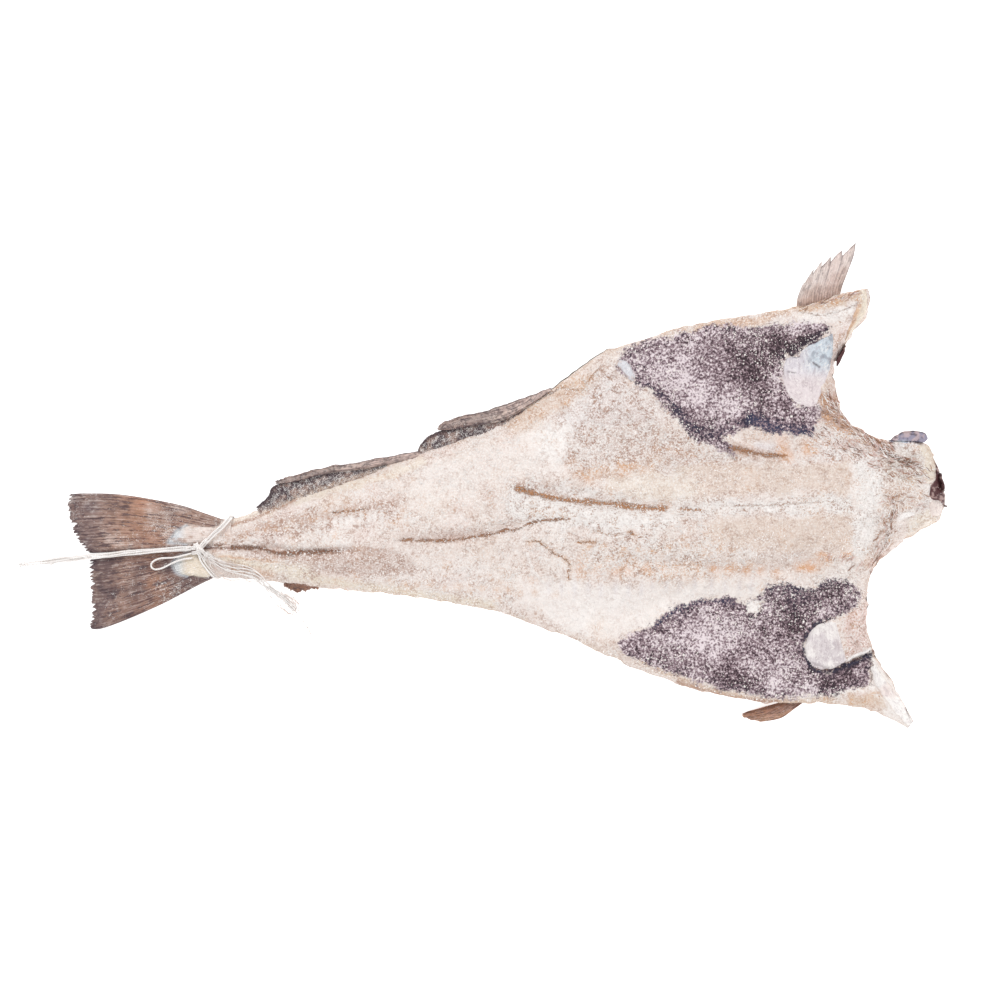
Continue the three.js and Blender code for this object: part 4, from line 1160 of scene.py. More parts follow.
def flesh_nodes(board, colours):
    place = board.place()
    crust, lining, blue = board.split("masks")
    tone, grit, warm = board.split("tones")
    away, width, blood = board.split("cracks")
    base, _ = board.group("Dried Mottle", Place=place, Colour=board.tint(), Size=0.0034, Strength=0.24)
    grains, grain_height = board.group("Salt Grain", Place=place, Size=0.0015, Amount=crust)
    # Grit lies in clumps with dark crevices, painted with crevice shade and ochre stain; between them the
    # crust is smoother and whiter.
    fine, mid = board.noise(place, 780.0, 3.0, 0.75), board.noise(place, 330.0, 3.0, 0.65)
    clump = board.step(board.noise(place, 125.0, 3.0, 0.6), 0.42, 0.58)
    gritty = grit * (clump + 0.45)
    stained = board.step(board.noise(place, 170.0, 3.0, 0.65), 0.47, 0.6)
    deep = board.mix(warm + stained * (0.12 + warm), colours.crevice_shade, colours.ochre)
    colour = board.mix((1.0 - clump) * (crust * 0.6), base, colours.white)
    # Painted shade in the crevices, where the noise under the bump is low.
    colour = board.mix(board.step(mid, 0.49, 0.38) * (gritty * 0.85), colour, deep)
    colour = board.mix(board.step(fine, 0.5, 0.4) * gritty, colour, deep)
    peak = board.step(fine, 0.52, 0.6) * (crust + 0.35) * (1.0 - warm * 0.35)
    colour = board.mix(peak, colour, colours.white)
    colour = board.mix(grains * 0.7, colour, colours.white)
    # Cracks are jagged, broken by grains of salt, and their width comes and goes.
    jag = board.noise(place, 240.0, 3.0, 0.6) + board.noise(place, 800.0, 2.0, 0.6)
    away = board.math("ABSOLUTE", away + (jag - 1.0) * 0.42)
    swell = board.step(board.noise(place, 110.0, 3.0, 0.6), 0.34, 0.64)
    rim = width * (swell * 0.8 + 0.45)
    cracked = board.step(away, rim, rim * 0.2) * board.step(width, 0.02, 0.06) * board.step(fine, 0.64, 0.5)
    # Painted shade in the cracks: umber, warming to the rust of dried blood.
    dark = board.mix(blood * board.step(mid, 0.3, 0.44), colours.umber, colours.rust)
    colour = board.mix(cracked, colour, dark)
    # The lining shows through its salt where the fine noise falls under the local tone.
    torn = (board.noise(place, 380.0, 4.0, 0.75) - 0.5) * 1.7
    film = board.step(lining + torn, -0.12, 0.18)
    dust = (board.noise(place, 640.0, 3.0, 0.7) - 0.5) * 2.15
    cloud = (board.noise(place, 260.0, 2.0, 0.6) + board.noise(place, 90.0, 3.0, 0.6) - 1.0) * 0.55
    depth = dust + cloud + (0.085 - tone * 0.34)
    black = board.mix(blue, colours.lining, colours.lining_blue)
    lined = board.mix(board.ramp(depth, -0.28, 0.0), black, colours.lining_mid)
    lined = board.mix(board.ramp(depth, 0.0, 0.28), lined, colours.lining_salt)
    low = board.bump(mid + cracked * -0.5, 0.0016, 0.7)
    return {
        "Base Color": board.mix(film, colour, lined),
        "Roughness": board.node("MapRange", {"Value": grains, "To Min": 0.8, "To Max": 0.55})[0],
        "Normal": board.bump(grain_height + fine, 0.0006, 0.7, low),
    }


def skin_nodes(board, colours):
    place = board.place()
    pale, spotted, lateral = board.split("masks")
    shade = board.mix(pale, colours.skin, colours.skin_pale)
    spots = board.step(board.noise(place, 190.0, 4.0, 0.7), 0.48, 0.62)
    shade = board.mix(spots * (spotted * 0.6), shade, colours.skin_dark)
    shade = board.mix(lateral, shade, colours.skin_pale)
    base, height = board.group("Dried Mottle", Place=place, Colour=shade, Size=0.0045, Strength=0.4)
    grains, _ = board.group("Salt Grain", Place=place, Size=0.0012, Amount=0.42)
    scales = board.node("TexVoronoi", {"Vector": place, "Scale": 620.0, "Randomness": 0.75})[0]
    low = board.bump(height, 0.0012, 0.6)
    return {
        "Base Color": board.mix(grains * 0.6, base, colours.white),
        "Roughness": 0.62,
        "Normal": board.bump(scales, 0.0005, 0.45, low),
    }


def fin_nodes(board, colours, streaks=0.8, count=70.0):
    place = board.place()
    along, across, salt = board.split("lanes")
    dark, pale, ridges = board.group("Rays", Along=along, Across=across, Count=count, Waver=0.02)
    colour, _ = board.group("Dried Mottle", Place=place, Colour=board.tint(), Size=0.0026, Strength=0.5)
    grains, grain_height = board.group("Salt Grain", Place=place, Size=0.0006, Amount=salt)
    colour = board.mix(dark * streaks, colour, colours.fin_dark)
    colour = board.mix(pale * 0.4, colour, colours.fin_pale)
    low = board.bump(ridges, 0.001, 0.8)
    return {
        "Base Color": board.mix(grains * 0.8, colour, colours.white),
        "Roughness": 0.65,
        "Normal": board.bump(grain_height, 0.0004, 0.5, low),
    }


def pale_fin_nodes(board, colours):
    return fin_nodes(board, colours, 0.34, 30.0)


def film_nodes(board, colours):
    place = board.place()
    along, across, salt = board.split("lanes")
    dark, pale, ridges = board.group("Rays", Along=along, Across=across, Count=34.0, Waver=0.1)
    colour, _ = board.group("Dried Mottle", Place=place, Colour=board.tint(), Size=0.003, Strength=0.26)
    grains, grain_height = board.group("Salt Grain", Place=place, Size=0.0015, Amount=salt)
    fibrous = board.step(salt, 0.16, 0.3)
    colour = board.mix(dark * fibrous * 0.34, colour, colours.lining_mid)
    colour = board.mix(pale * fibrous * 0.6, colour, colours.white)
    return {
        "Base Color": board.mix(grains * 0.7, colour, colours.white),
        "Roughness": 0.6,
        "Normal": board.bump(ridges + grain_height, 0.0006, 0.5),
    }


def twine_nodes(board, colours):
    place = board.place()
    along, around, soiled = board.split("strand")
    dirt = board.step(board.noise(place, 160.0, 3.0, 0.6), 0.45, 0.75)
    base = board.mix(dirt * 0.1, colours.twine, colours.twine_dirt_and_shade)
    base = board.mix(soiled, base, colours.twine_dirt_and_shade)
    lay = board.math("SINE", along * 5200.0 + around)
    height = lay * 0.3 + board.noise(place, 1500.0, 3.0, 0.7)
    return {
        # Painted shade: the low parts of the lay, between the plies, darkened with the dirt colour.
        "Base Color": board.mix(board.step(height, 0.46, 0.1) * 0.4, base, colours.twine_dirt_and_shade),
        "Roughness": 0.92,
        "Sheen Weight": 0.2,
        "Normal": board.bump(height, 0.0003, 0.7),
    }


def crystal_nodes(board, colours):
    grain = board.noise(board.place(), 900.0, 2.0)
    colour = board.mix(grain * 0.35, colours.white, colours.flesh)
    return {"Base Color": colour, "Roughness": 0.35, "Specular IOR Level": 0.6}


def floor_nodes(board, colours):
    return {
        "Base Color": srgb(250, 250, 250),
        "Emission Color": (1, 1, 1),
        "Emission Strength": 0.6,
        "Roughness": 0.9,
        "Specular IOR Level": 0.1,
    }


MATERIALS = {
    "Salted flesh": flesh_nodes, "Dried skin": skin_nodes, "Dried fin": fin_nodes,
    "Pale dried fin": pale_fin_nodes, "Membrane": film_nodes, "Cotton twine": twine_nodes,
    "Salt crystal": crystal_nodes, "Pale floor": floor_nodes,
}


def material_of(context, name):
    """The material of that name, built the first time it is asked for."""
    material = bpy.data.materials.get(name)
    if material:
        return material
    material = bpy.data.materials.new(name)
    material.use_nodes = True
    board = Board(material.node_tree)
    shader = material.node_tree.nodes["Principled BSDF"]
    for key, value in MATERIALS[name](board, context.scene.dried_cod_colours).items():
        board.put(shader.inputs[key], value)
    return material


# ---- fields of the flesh


def zone_values(x, y):
    """Share of each zone at each place, with ragged borders, and the grit and salt crust there."""
    ragged = noise(x, y, 0.006, 40, 3)
    near = strayed(x, y, 0.002, 0.01, 41, 3)
    grit = np.full(len(x), 0.42)
    crust = 0.34 + 0.22 * noise(x, y, SALT_PATCH, SALT_SEED, 3)
    shares = []
    for _, _, soft, gritty, salted, outline in ZONES:
        soft = soft * MM
        share = ease(inside(mm(outline), *near) + 0.7 * soft * ragged, -soft, soft)
        grit, crust = blend(grit, gritty, share), blend(crust, salted, share)
        shares.append(share)
    return shares, grit, crust


def flesh_relief(sizes, x, y, lining, grit):
    """Fine relief over the main form: crust, flakes, wrinkles, cuts and pits."""
    bare = 1 - ease(lining, -0.001, 0.003)
    grain = noise(x, y, 0.0038, 11, 3) + 0.8 * np.abs(noise(x, y, 0.009, 12, 2))
    crust = sizes.crust * (0.5 + grit) * grain
    broad = 0.0008 * noise(x, y, 0.03, 13, 2)
    lean = x + 0.55 * np.abs(y - backbone(x)) + 0.007 * noise(x, y, 0.026, 14, 2)
    flakes = sizes.flake * np.sin(2 * pi * lean / FLAKE_PITCH) * patches(x, y, 0.03, 15, 2, -0.1, 0.7)
    wrinkles = sizes.lining_wrinkle * noise(x * 0.7, y * 1.2, 0.008, 16, 3) * (1 - bare)
    nape = 0.0011 * noise(x * 0.5, y * 1.6, 0.006, 17, 3) * ease(x, 0.25, 0.27)
    near, sunk = strayed(x, y, 0.0008, 0.004, 18, 2), 0
    for course, depth, width in SEAMS:
        sunk = sunk + depth * MM * bell(to_line(mm(course), *near), width * MM)
    for *row, _, strength in SPOT_ROWS:
        sunk = sunk + 0.0006 * strength * row_of_spots(x, y, *row)
    step = 0.0007 * ease(lining, -0.0012, 0.0006)
    return crust + broad + flakes * bare + wrinkles + nape - sunk + step


def lining_distance(x, y):
    """Distance inside the belly lining's outlines, with a wandering border."""
    wander = 0.0018 * noise(x, y, 0.007, 21, 3)
    lined = np.maximum(inside(UPPER_LINING, x, y), inside(LOWER_LINING, x, y)) + wander
    return np.minimum(lined, -inside(LINING_GAP, x, y) + 0.3 * wander)


def crack_values(x, y):
    """Signed distance to the nearest crack and its half width there, both in centimetres, and its warmth."""
    nearest = np.full(len(x), np.inf)
    signed, width, warmth = np.ones(len(x)), np.zeros(len(x)), np.zeros(len(x))
    for course, half, strength, warm in CRACKS:
        line = mm(course)
        away = to_line(line, x, y)
        closer = away < nearest
        sign = np.where(y > np.interp(x, line[:, 0], line[:, 1]), 1, -1)
        fade = 1 - ease(away, 0.0025, 0.0045)
        nearest = np.minimum(nearest, away)
        signed = np.where(closer, sign * away * CM, signed)
        width = np.where(closer, half * MM * CM * strength * fade * 1.4, width)
        warmth = np.where(closer, warm, warmth)
    return columns(signed, width, warmth)


def flesh_masks(colours, x, y, lining, rim, zones):
    """Colour and masks of the flesh at each place."""
    shares, grit, crust = zones
    coat = Paint(colours, "flesh", len(x))
    coat("beige", 0.5 * patches(x, y, 0.045, 33, 3, 0.0, 0.9))
    coat("white", 0.5 * patches(x, y, 0.03, 34, 3, 0.2, 1.0))
    coat("rose", 0.25 * patches(x, y, 0.02, 35, 3, 0.3, 1.1))
    warm = 0.35 * patches(x, y, 0.01, 39, 2, 0.0, 0.8)
    for (name, strength, *_), share in zip(ZONES, shares):
        coat(name, strength * share)
        if name in ("brown", "tan"):
            warm = np.maximum(warm, 0.8 * strength * share)
        elif name in ("speckle", "film"):
            warm = warm * (1 - 0.8 * share)
    coat("white", ease(inside(LINING_GAP, x, y), -0.001, 0.0004))
    wavered = strayed(x, y, 0.003, 0.008, 31, 3)
    for *stain, turn, name, strength in STAINS:
        share = strength * spot(*wavered, *mm(stain), turn)
        coat(name, 0.6 * share)
        if name in ("ochre", "orange", "rust", "brown"):
            warm, grit = np.maximum(warm, share), np.maximum(grit, 0.9 * share)
    for *row, name, strength in SPOT_ROWS:
        share = strength * row_of_spots(x, y, *row)
        coat(name, 0.6 * share)
        if name == "white":
            grit = grit * (1 - 0.7 * np.clip(share, 0, 1))
        if name in ("ochre", "orange"):
            warm = np.maximum(warm, share)
    near = strayed(x, y, 0.0007, 0.003, 36, 3)
    for course, width, name, strength in STAINED_LINES:
        coat(name, strength * bell(to_line(mm(course), *near), width * MM))
    edge = bell(rim, 0.003) * (x > -0.1)
    coat("tan", 0.5 * edge * patches(x, y, 0.008, 43, 2, -0.6, 0.6))
    tone = np.full(len(x), 0.25)
    for *centre, radius, strength in LINING_TONES:
        tone = tone + 0.8 * strength * spot(*wavered, *mm(centre), radius * MM, radius * MM)
    blue = 0.2 * bell(lining - 0.002, 0.003)
    for *centre, radius, strength in BLUE_TONES:
        blue = np.maximum(blue, strength * spot(*wavered, *mm(centre), radius * MM, radius * MM))
    for course, width, dark, bluish in LINING_BANDS:
        share = bell(to_line(mm(course), *near), width * MM)
        tone, blue = tone + dark * share, np.maximum(blue, bluish * share)
    crust = np.clip(crust, 0, 1) * (1 - 0.6 * bell(rim, 0.004))
    return {
        "tint": coat.value,
        "masks": columns(crust, lining * CM, blue),
        "tones": columns(np.clip(tone, -0.7, 2.2), grit * GRITTINESS, np.clip(warm, 0, 1)),
        "cracks": crack_values(x, y),
    }


# ---- operators


class DRIEDCOD_OT_stage(bpy.types.Operator):
    """Sets up the pale floor, the soft lights and the camera straight above"""

    bl_idname = "dried_cod.stage"
    bl_label = "Stage"

    FLOOR = 6.0
    CAMERA_PLACE = (-0.00385, -0.01085, 1.954)
    LENS = 0.1
    SENSOR = 36
    # Place, size and power of the main light and of the one that softens its shadows.
    LIGHTS = [((-0.9, 1.0, 1.3), 0.9, 15.6), ((1.2, -0.9, 1.5), 1.6, 16.2)]
    SKY = 0.63

    def execute(self, context):
        bpy.ops.object.select_all(action="DESELECT")
        bpy.ops.mesh.primitive_plane_add(size=self.FLOOR)
        floor = named(context.active_object, "floor")
        floor.data.materials.append(material_of(context, "Pale floor"))
        bpy.ops.object.camera_add(location=self.CAMERA_PLACE, rotation=(0, 0, 0))
        camera = context.active_object
        camera.data.lens_unit = "MILLIMETERS"
        camera.data.lens = self.LENS / MM
        camera.data.sensor_width = self.SENSOR
        context.scene.camera = camera
        for place, size, power in self.LIGHTS:
            bpy.ops.object.light_add(type="AREA", location=place)
            lamp = context.active_object
            lamp.data.size = size
            lamp.data.energy = power
            lamp.rotation_euler = Vector(-np.array(place)).to_track_quat("-Z", "Y").to_euler()
        world = context.scene.world or bpy.data.worlds.new("Studio")
        context.scene.world = world
        world.use_nodes = True
        sky = world.node_tree.nodes["Background"]
        sky.inputs["Color"].default_value = (1, 1, 1, 1)
        sky.inputs["Strength"].default_value = self.SKY
        context.scene.view_settings.view_transform = "Standard"
        return {"FINISHED"}


def strands_along(name, path, offset, strands, ply, pitch, seed):
    """Twisted strands that run side by side along a path and wind slowly round each other."""
    side = side_of(path)
    run = np.linspace(0, run_along(path)[-1], len(path))
    offset = np.broadcast_to(offset, len(path))
    pieces = []
    for k in range(strands):
        turn = 2 * pi * (k / strands + run / pitch)
        loose = 0.15 * offset * noise(run, k, 0.012, seed, 2)
        course = path + side * (offset * np.cos(turn) + loose)[:, None]
        course[:, 2] += np.minimum(0.45 * offset, 0.0008) * np.sin(turn)
        pieces.append(tube(f"{name}_{k}", course, ply, 10, lobes=3, lobe_depth=0.22, twist=PLY_TWIST))
    return join(name, pieces)


def wisps(name, courses, radius, seed, copies, spread, dirt):
    """Loose fibres along each course, each copy wandering off by itself."""
    random = np.random.default_rng(seed)
    pieces = []
    for number, course in enumerate(courses):
        course = mm(course)
        for copy in range(copies):
            points = course + random.normal(0, spread, course.shape) * (1, 1, 0.3)
            points[0] = course[0]
            points[:, 2] = np.maximum(points[:, 2], WISP_LEAST_HEIGHT)
            path = fine_path(points, WISP_SPACING)
            kink = random.uniform(0, 9)
            run = np.arange(len(path)) * WISP_SPACING
            stray = 0.6 * spread * noise(run, kink, 0.004, seed + 1, 2)
            path = path + side_of(path) * stray[:, None]
            width = radius * np.linspace(1.0, 0.5, len(path)) * random.uniform(0.7, 1.25)
            pieces.append(tube(f"{name}_{number}_{copy}", path, width, sides=5, dirt=dirt))
    return join(name, pieces)


class DRIEDCOD_OT_twine(bpy.types.Operator):
    """Ties the twisted cotton twine round the tail, with its knot, loop and frayed ends"""

    bl_idname = "dried_cod.twine"
    bl_label = "Twine"

    SPACING = 0.0005
    TIGHT = 0.87
    # How far the strands of the short end lie from its middle line, at shares of its length.
    FAN = [(0, 0.001), (0.25, 0.0028), (0.5, 0.0027), (0.75, 0.0014), (1, 0.0018)]

    def loose_end(self, context, name, node, course, diameter, far_end, strands, frayed=None):
        """One cord that leaves the knot: its strands, and the frayed fibres that move with it."""
        path = fine_path(course, self.SPACING)
        item = strands_along(name, path, *strands)
        finish_piece(context, item, "Cotton twine", node)
        extra = [wisps(*frayed)] if frayed else []
        for fibres in extra:
            finish_piece(context, fibres, "Cotton twine", None)

    def execute(self, context):
        # Strands: distance from the middle line, number, radius, length of one turn and seed. Frayed
        # fibres: name, courses, radius, seed, copies of each, spread and dirt at the tips.
        ply, fibre = context.scene.dried_cod_sizes.ply, context.scene.dried_cod_sizes.fibre
        frayed = ("long_wisps", LONG_WISPS, fibre, 41, 3, 0.0012, 0.3)
        strands = (0.00135, 4, ply * 0.95, 0.18, 5)
        end = ("twine_long_end", LONG_END, LONG_END_DIAMETER, "bare")
        self.loose_end(context, "long_strands", *end, strands, frayed)
        strands = (0.0, 1, ply * 1.05, 0.045, 6)
        end = ("twine_loop", LOOP, LOOP_DIAMETER, "object")
        self.loose_end(context, "loop_strand", *end, strands)
        frayed = ("short_wisps", SHORT_WISPS, fibre * 1.3, 43, 4, 0.0013, 0.8)
        fanned = through(self.FAN)(np.linspace(0, 1, len(fine_path(SHORT_END, self.SPACING))))
        strands = (fanned, 7, ply * 0.6, 0.14, 7)
        end = ("twine_short_end", SHORT_END, SHORT_END_DIAMETER, "bare")
        self.loose_end(context, "short_strands", *end, strands, frayed)
        band_path = fine_path(np.vstack([TIE, TIE[:1]]), self.SPACING)
        band_path[:, 1] = KNOT_Y + self.TIGHT * (band_path[:, 1] - KNOT_Y)
        pieces = [strands_along("tie_band", band_path, 0.0012, 3, ply * 0.95, 0.3, 8)]
        for k, turn in enumerate(KNOT_TURNS):
            path = fine_path(mm(turn), self.SPACING)
            pieces.append(strands_along(f"knot_{k}", path, 0.0009, 4, ply * 0.75, 0.03, 9 + k))
        finish_piece(context, join("tie_strands", pieces), "Cotton twine", "twine_tie")
        return {"FINISHED"}


class DRIEDCOD_OT_flesh(bpy.types.Operator):
    """Models the salted flesh with its loins, grooves, belly flaps and dark lining"""

    bl_idname = "dried_cod.flesh"
    bl_label = "Flesh"

    STEPS = (416, 208)
    COARSE = 4

    def execute(self, context):
        sizes, colours = settings(context)

        def place(u, v, side):
            x, y, *to_rim = ragged_body(u, v)
            middle, swing = rim_shape(x, y, *to_rim)
            lining, zones = lining_distance(x, y), zone_values(x, y)
            if side > 0:
                full = flesh_top(x, y, *to_rim) + flesh_relief(sizes, x, y, lining, zones[1])
            else:
                full = underside(x, y) + sizes.skin * 1.2
            masks = flesh_masks(colours, x, y, lining, np.minimum(*to_rim), zones)
            return (x, y, middle + (full - middle) * swing), masks

        flesh = add_sheet("cod_flesh", self.STEPS, place, self.COARSE)
        finish_piece(context, flesh, "Salted flesh")
        return {"FINISHED"}


class DRIEDCOD_OT_skin(bpy.types.Operator):
    """Models the outer skin that wraps the underside"""

    bl_idname = "dried_cod.skin"
    bl_label = "Skin"

    STEPS = (260, 130)
    PROUD = 0.0008
    LATERAL_LINE = 0.42
    TAIL_LINE = 0.15

    def execute(self, context):
        sizes, _ = settings(context)

        def place(u, v, side):
            x, y, *to_rim = ragged_body(u, v)
            middle, swing = rim_shape(x, y, *to_rim)
            upper = np.sign(y - backbone(x))
            shows = np.where(upper > 0, ease(x, -0.09, -0.02) * (1 - ease(x, 0.05, 0.09)), -0.4)
            y = y + upper * self.PROUD * shows * bell(to_rim[0], 0.002)
            out = outwards(x, y)
            full = underside(x, y) + (0 if side < 0 else sizes.skin)
            # The tail part lies on its flank, back to the upper edge; in front the back is in the middle.
            opened = ease(x, 0.02, 0.14)
            flank = upper * out
            lateral = blend(bell(flank - self.TAIL_LINE, 0.05), bell(out - self.LATERAL_LINE, 0.03), opened)
            pale = blend(1 - ease(flank, -0.7, 0.25), ease(out, 0.4, 0.85), opened)
            if side < 0:
                full = full + 0.00035 * (1 + noise(x, y, 0.006, 51, 3)) * ease(out, 0.05, 0.4)
            z = np.maximum(middle - 0.0002 + (full - middle) * swing, 0.0)
            return (x, y, z), {"masks": columns(pale, 1 - 0.8 * pale, lateral * 0.7)}

        skin = add_sheet("cod_skin", self.STEPS, place)
        finish_piece(context, skin, "Dried skin")
        return {"FINISHED"}


class DRIEDCOD_OT_tail_fin(bpy.types.Operator):
    """Models the two combed lobes of the tail fin"""

    bl_idname = "dried_cod.tail_fin"
    bl_label = "Tail Fin"

    STEPS = (96, 180)
    THICKNESS = 0.0014
    ROOT_THICKNESS = 0.007
    NOTCH_WIDTH = 0.018
    FIN_END, FIN_LENGTH = -0.3, 0.1

    def outline(self, u, v, x, y, comb, teeth, notch):
        """The rear edge bitten into torn teeth of uneven depth, with one deeper notch."""
        phase = v * teeth + 0.7 * noise(v, 0, 0.12, 61)
        deep = np.random.default_rng(62).uniform(0.1, 1.0, 60) ** 1.5
        bite = comb * MM * 1.7 * deep[np.floor(phase).astype(int) + 5] * np.abs(2 * (phase % 1) - 1) ** 0.8
        bite = bite + 0.0014 * np.maximum(noise(v, 7, 0.01, 63, 2), 0)
        bite = (bite + notch[1] * MM * bell(v - notch[0], self.NOTCH_WIDTH)) * ease(u, 0.1, 0.0)
        return x + bite, y + 0.35 * bite

    def colour(self, colours, u, v, x, y, upper_lobe, root, flesh, cover):
        along = np.clip((x - self.FIN_END) / self.FIN_LENGTH, 0, 1)
        coat = Paint(colours, "fin", len(x))
        brown = (1.0 if upper_lobe else 0.7) * bell(along - 0.5, 0.22)
        coat("fin_brown", brown * (0.7 + 0.5 * noise(x, y, 0.02, 67, 2)))
        coat("fin_dark", (0.05 if upper_lobe else 0.48) + 0.3 * noise(x, y, 0.014, 71, 3))
        dark_rear, blue_rear = ease(along, 0.22, 0.0), ease(along, 0.3, 0.05)
        coat("fin_dark", 0.4 * dark_rear * (0.6 + 0.8 * noise(x, y, 0.01, 68, 2)))
        coat("lining_blue", 0.34 * blue_rear * (0.7 + 0.6 * noise(x, y, 0.009, 76, 2)))
        coat("brown", 0.6 * bell(along - 0.52, 0.2) * patches(x, y, 0.014, 74, 3, -0.3, 0.6))
        coat("fin_pale", 0.3 * upper_lobe * patches(x, y, 0.013, 72, 3, 0.25, 1.0))
        coat("fin_dark", 0.8 * bell(to_ends(v) * 0.045, 0.001))
        coat("fin_dark", 0.8 * upper_lobe * bell(v * 0.04, 0.003) * ease(u, 0.8, 0.5))
        coat("fin_dark", 0.35 * bell(u * 0.1, 0.003))
        coat("film_blue", 0.8 * bell(root, 0.0016) * (x < -0.222))
        coat("flesh" if upper_lobe else "cream", flesh * 0.95)
        coat("film_blue", 0.7 * flesh * ease(x, -0.222, -0.23))
        coat("brown", 0.6 * flesh * upper_lobe * patches(x, y, 0.004, 75, 3, 0.1, 0.8))
        coat("flesh", cover)
        coat("beige", 0.45 * cover)
        coat("rose", 0.3 * cover * patches(x, y, 0.006, 73, 2, 0, 0.8))
        coat("umber", 0.9 * cover * bell(y + 0.0444, 0.0012))
        coat("skin_dark", 0.8 * spot(x, y, -0.208, -0.0432, 0.0035, 0.002, -20))
        salt = 0.22 + 0.2 * noise(x, y, 0.02, 69, 2) + 0.25 * ease(along, 0.35, 0.8)
        return coat.value, salt

    def lobe(self, sizes, colours, lower, upper, rear, ends, comb, teeth, notch):
        front = [lower[-1], upper[-1]]
        rear, front, lower, upper = curves(rear, front, lower, upper)
        upper_lobe = ends[0] > 0.5

        def place(u, v, side):
            point = patch_place(u, v, rear, front, lower, upper)
            x, y = self.outline(u, v, point[:, 0], point[:, 1], comb, teeth, notch)
            share = blend(*ends, v)
            middle = blend(0.0034, TAIL_LIFT + 0.0044, u) + 0.003 * (1 - u) * (2 * share - 1) ** 2
            edgeward = 1 - 0.5 * (2 * share - 1) ** 8
            rim = np.minimum(to_ends(v) * 24, 1) * np.minimum(u * 40 + 0.3, 1)
            thick = blend(self.THICKNESS, self.ROOT_THICKNESS * edgeward, u**2.2) * rounded(rim, 0.15)
            lanes = share * sizes.rays + 0.4 * noise(u, share * 6, 0.4, 64)
            ray = sizes.ray * np.cos(2 * pi * lanes) * (1 - u**3) * rim
            buckle = 0.0007 * noise(x, y, 0.016, 65, 2) * (1 - u)
            root = np.maximum(inside(TAIL_ROOT_UPPER, x, y), inside(TAIL_ROOT_LOWER, x, y))
            root = root + 0.0006 * noise(x, y, 0.004, 66, 2)
            z = middle + side * thick / 2 + ray + buckle + 0.0012 * ease(root, -0.0004, 0.0022)
            flesh = ease(root, -0.0004, 0.0006)
            cover = inside(TAIL_FLESH, x, y) + 0.0015 * noise(x, y, 0.006, 70, 2)
            cover = ease(cover, -0.0008, 0.0012)
            shade, salt = self.colour(colours, u, v, x, y, upper_lobe, root, flesh, cover)
            flesh = np.maximum(flesh, cover)
            smooth = flesh > 0.5
            salt = blend(salt, 0.5, flesh)
            lanes = columns(np.where(smooth, 0, u * 2), np.where(smooth, 0.3, share), salt)
            return (x, y, z), {"tint": shade, "lanes": lanes}

        return add_sheet("lobe", self.STEPS, place)

    def execute(self, context):
        fin = join("tail_fin", [self.lobe(*settings(context), *lobe) for lobe in TAIL_LOBES])
        finish_piece(context, fin, "Dried fin")
        return {"FINISHED"}


class DRIEDCOD_OT_edge_fins(bpy.types.Operator):
    """Models the dorsal and anal fins, dried flat along the edges"""

    bl_idname = "dried_cod.edge_fins"
    bl_label = "Dorsal and Anal Fins"

    STEPS = (150, 34)
    THICKNESS = 0.0013
    BASE = {"dark": "fin_dark", "band": "fin", "brown": "fin_brown"}

    def colour(self, colours, zone, u, v, x, y, seed):
        """Colour of each place, its distance along and across the rays, and its salt."""
        coat = Paint(colours, self.BASE[zone], len(x))
        salt, along, across = 0.22, u * 2.5, v * 0.3
        if zone == "dark":
            coat("lining", 0.3)
            coat("fin", 0.75 * patches(x, y, 0.005, seed + 5, 2, -0.5, 0.6))
            coat("tan", 0.5 * ease(v, 0.4, 0.1))
            coat("lining", 0.85 * ease(v, 0.78, 0.95))
            salt, along, across = 0.6 - 0.34 * ease(v, 0.75, 0.95), v * 1.5, u * 0.8 - v * 0.15
        elif zone == "band":
            fold = bell(v, 0.1 + 0.16 * ease(u, 0.3, 0.6))
            coat("lining", 0.9 * fold * ease(u, 0.85, 0.6))
            coat("fin_dark", 0.18 + 0.25 * patches(u, v, 0.08, seed + 6, 2, -0.2, 0.8))
            coat("fin_pale", 0.35 * bell(v - 0.55, 0.28))
            streaks = patches(u * 0.25, v, 0.1, seed + 7, 2, -0.25, 0.35)
            coat("beige", 0.7 * ease(u, 0.45, 0.75) * streaks)
            coat("rose", 0.45 * ease(u, 0.55, 0.85) * ease(v, 0.1, 0.3))
            coat("fin_dark", (0.35 + 0.35 * ease(u, 0.4, 0.7)) * ease(v, 0.84, 0.97))
            coat("lining", 0.6 * patches(x, y, 0.0014, seed + 8, 3, 0.0, 0.5))
        else:
            coat("fin_dark", 0.25 + 0.35 * patches(x, y, 0.0015, seed + 5, 2, 0, 0.8))
        return coat.value, columns(along, across, salt)

    def ribbon(self, sizes, colours, zone, height, inner, outer, seed):
        inner, outer = curves(inner, outer)
        tear = 0.0012 if zone == "brown" else 0.0006

        def place(u, v, side):
            x, y = blend(inner(u), outer(u), v[:, None]).T
            y = y + tear * noise(u, 0, 0.05, seed, 3) * v**3 * np.sign(outer(u) - inner(u))[:, 1]
            x = x + 0.0012 * noise(v, 0, 0.12, seed + 2, 2) * bell(u, 0.04)
            lean = u * 30 - v * 2.5 + 0.4 * noise(x, y, 0.006, seed + 3)
            ray = sizes.ray * 1.2 * np.cos(2 * pi * lean) * (zone != "band")
            rim = np.clip(np.minimum(to_ends(v) * 8, to_ends(u) * 30), 0, 1)
            lift = underside(x, y) + height * MM - 0.0012 * v
            z = lift + side * self.THICKNESS * rounded(rim, 0.15) / 2 + ray * rim
            z = z + 0.0005 * noise(x, y, 0.01, seed + 4, 2)
            shade, lanes = self.colour(colours, zone, u, v, x, y, seed)
            return (x, y, z), {"tint": shade, "lanes": lanes}

        return add_sheet("leaf", self.STEPS, place)

    def execute(self, context):
        for number, (name, leaves) in enumerate(EDGE_FINS.items()):
            seed = 70 + 10 * number
            parts = [self.ribbon(*settings(context), *leaf, seed + k) for k, leaf in enumerate(leaves)]
            finish_piece(context, join(name, parts), "Dried fin")
        return {"FINISHED"}


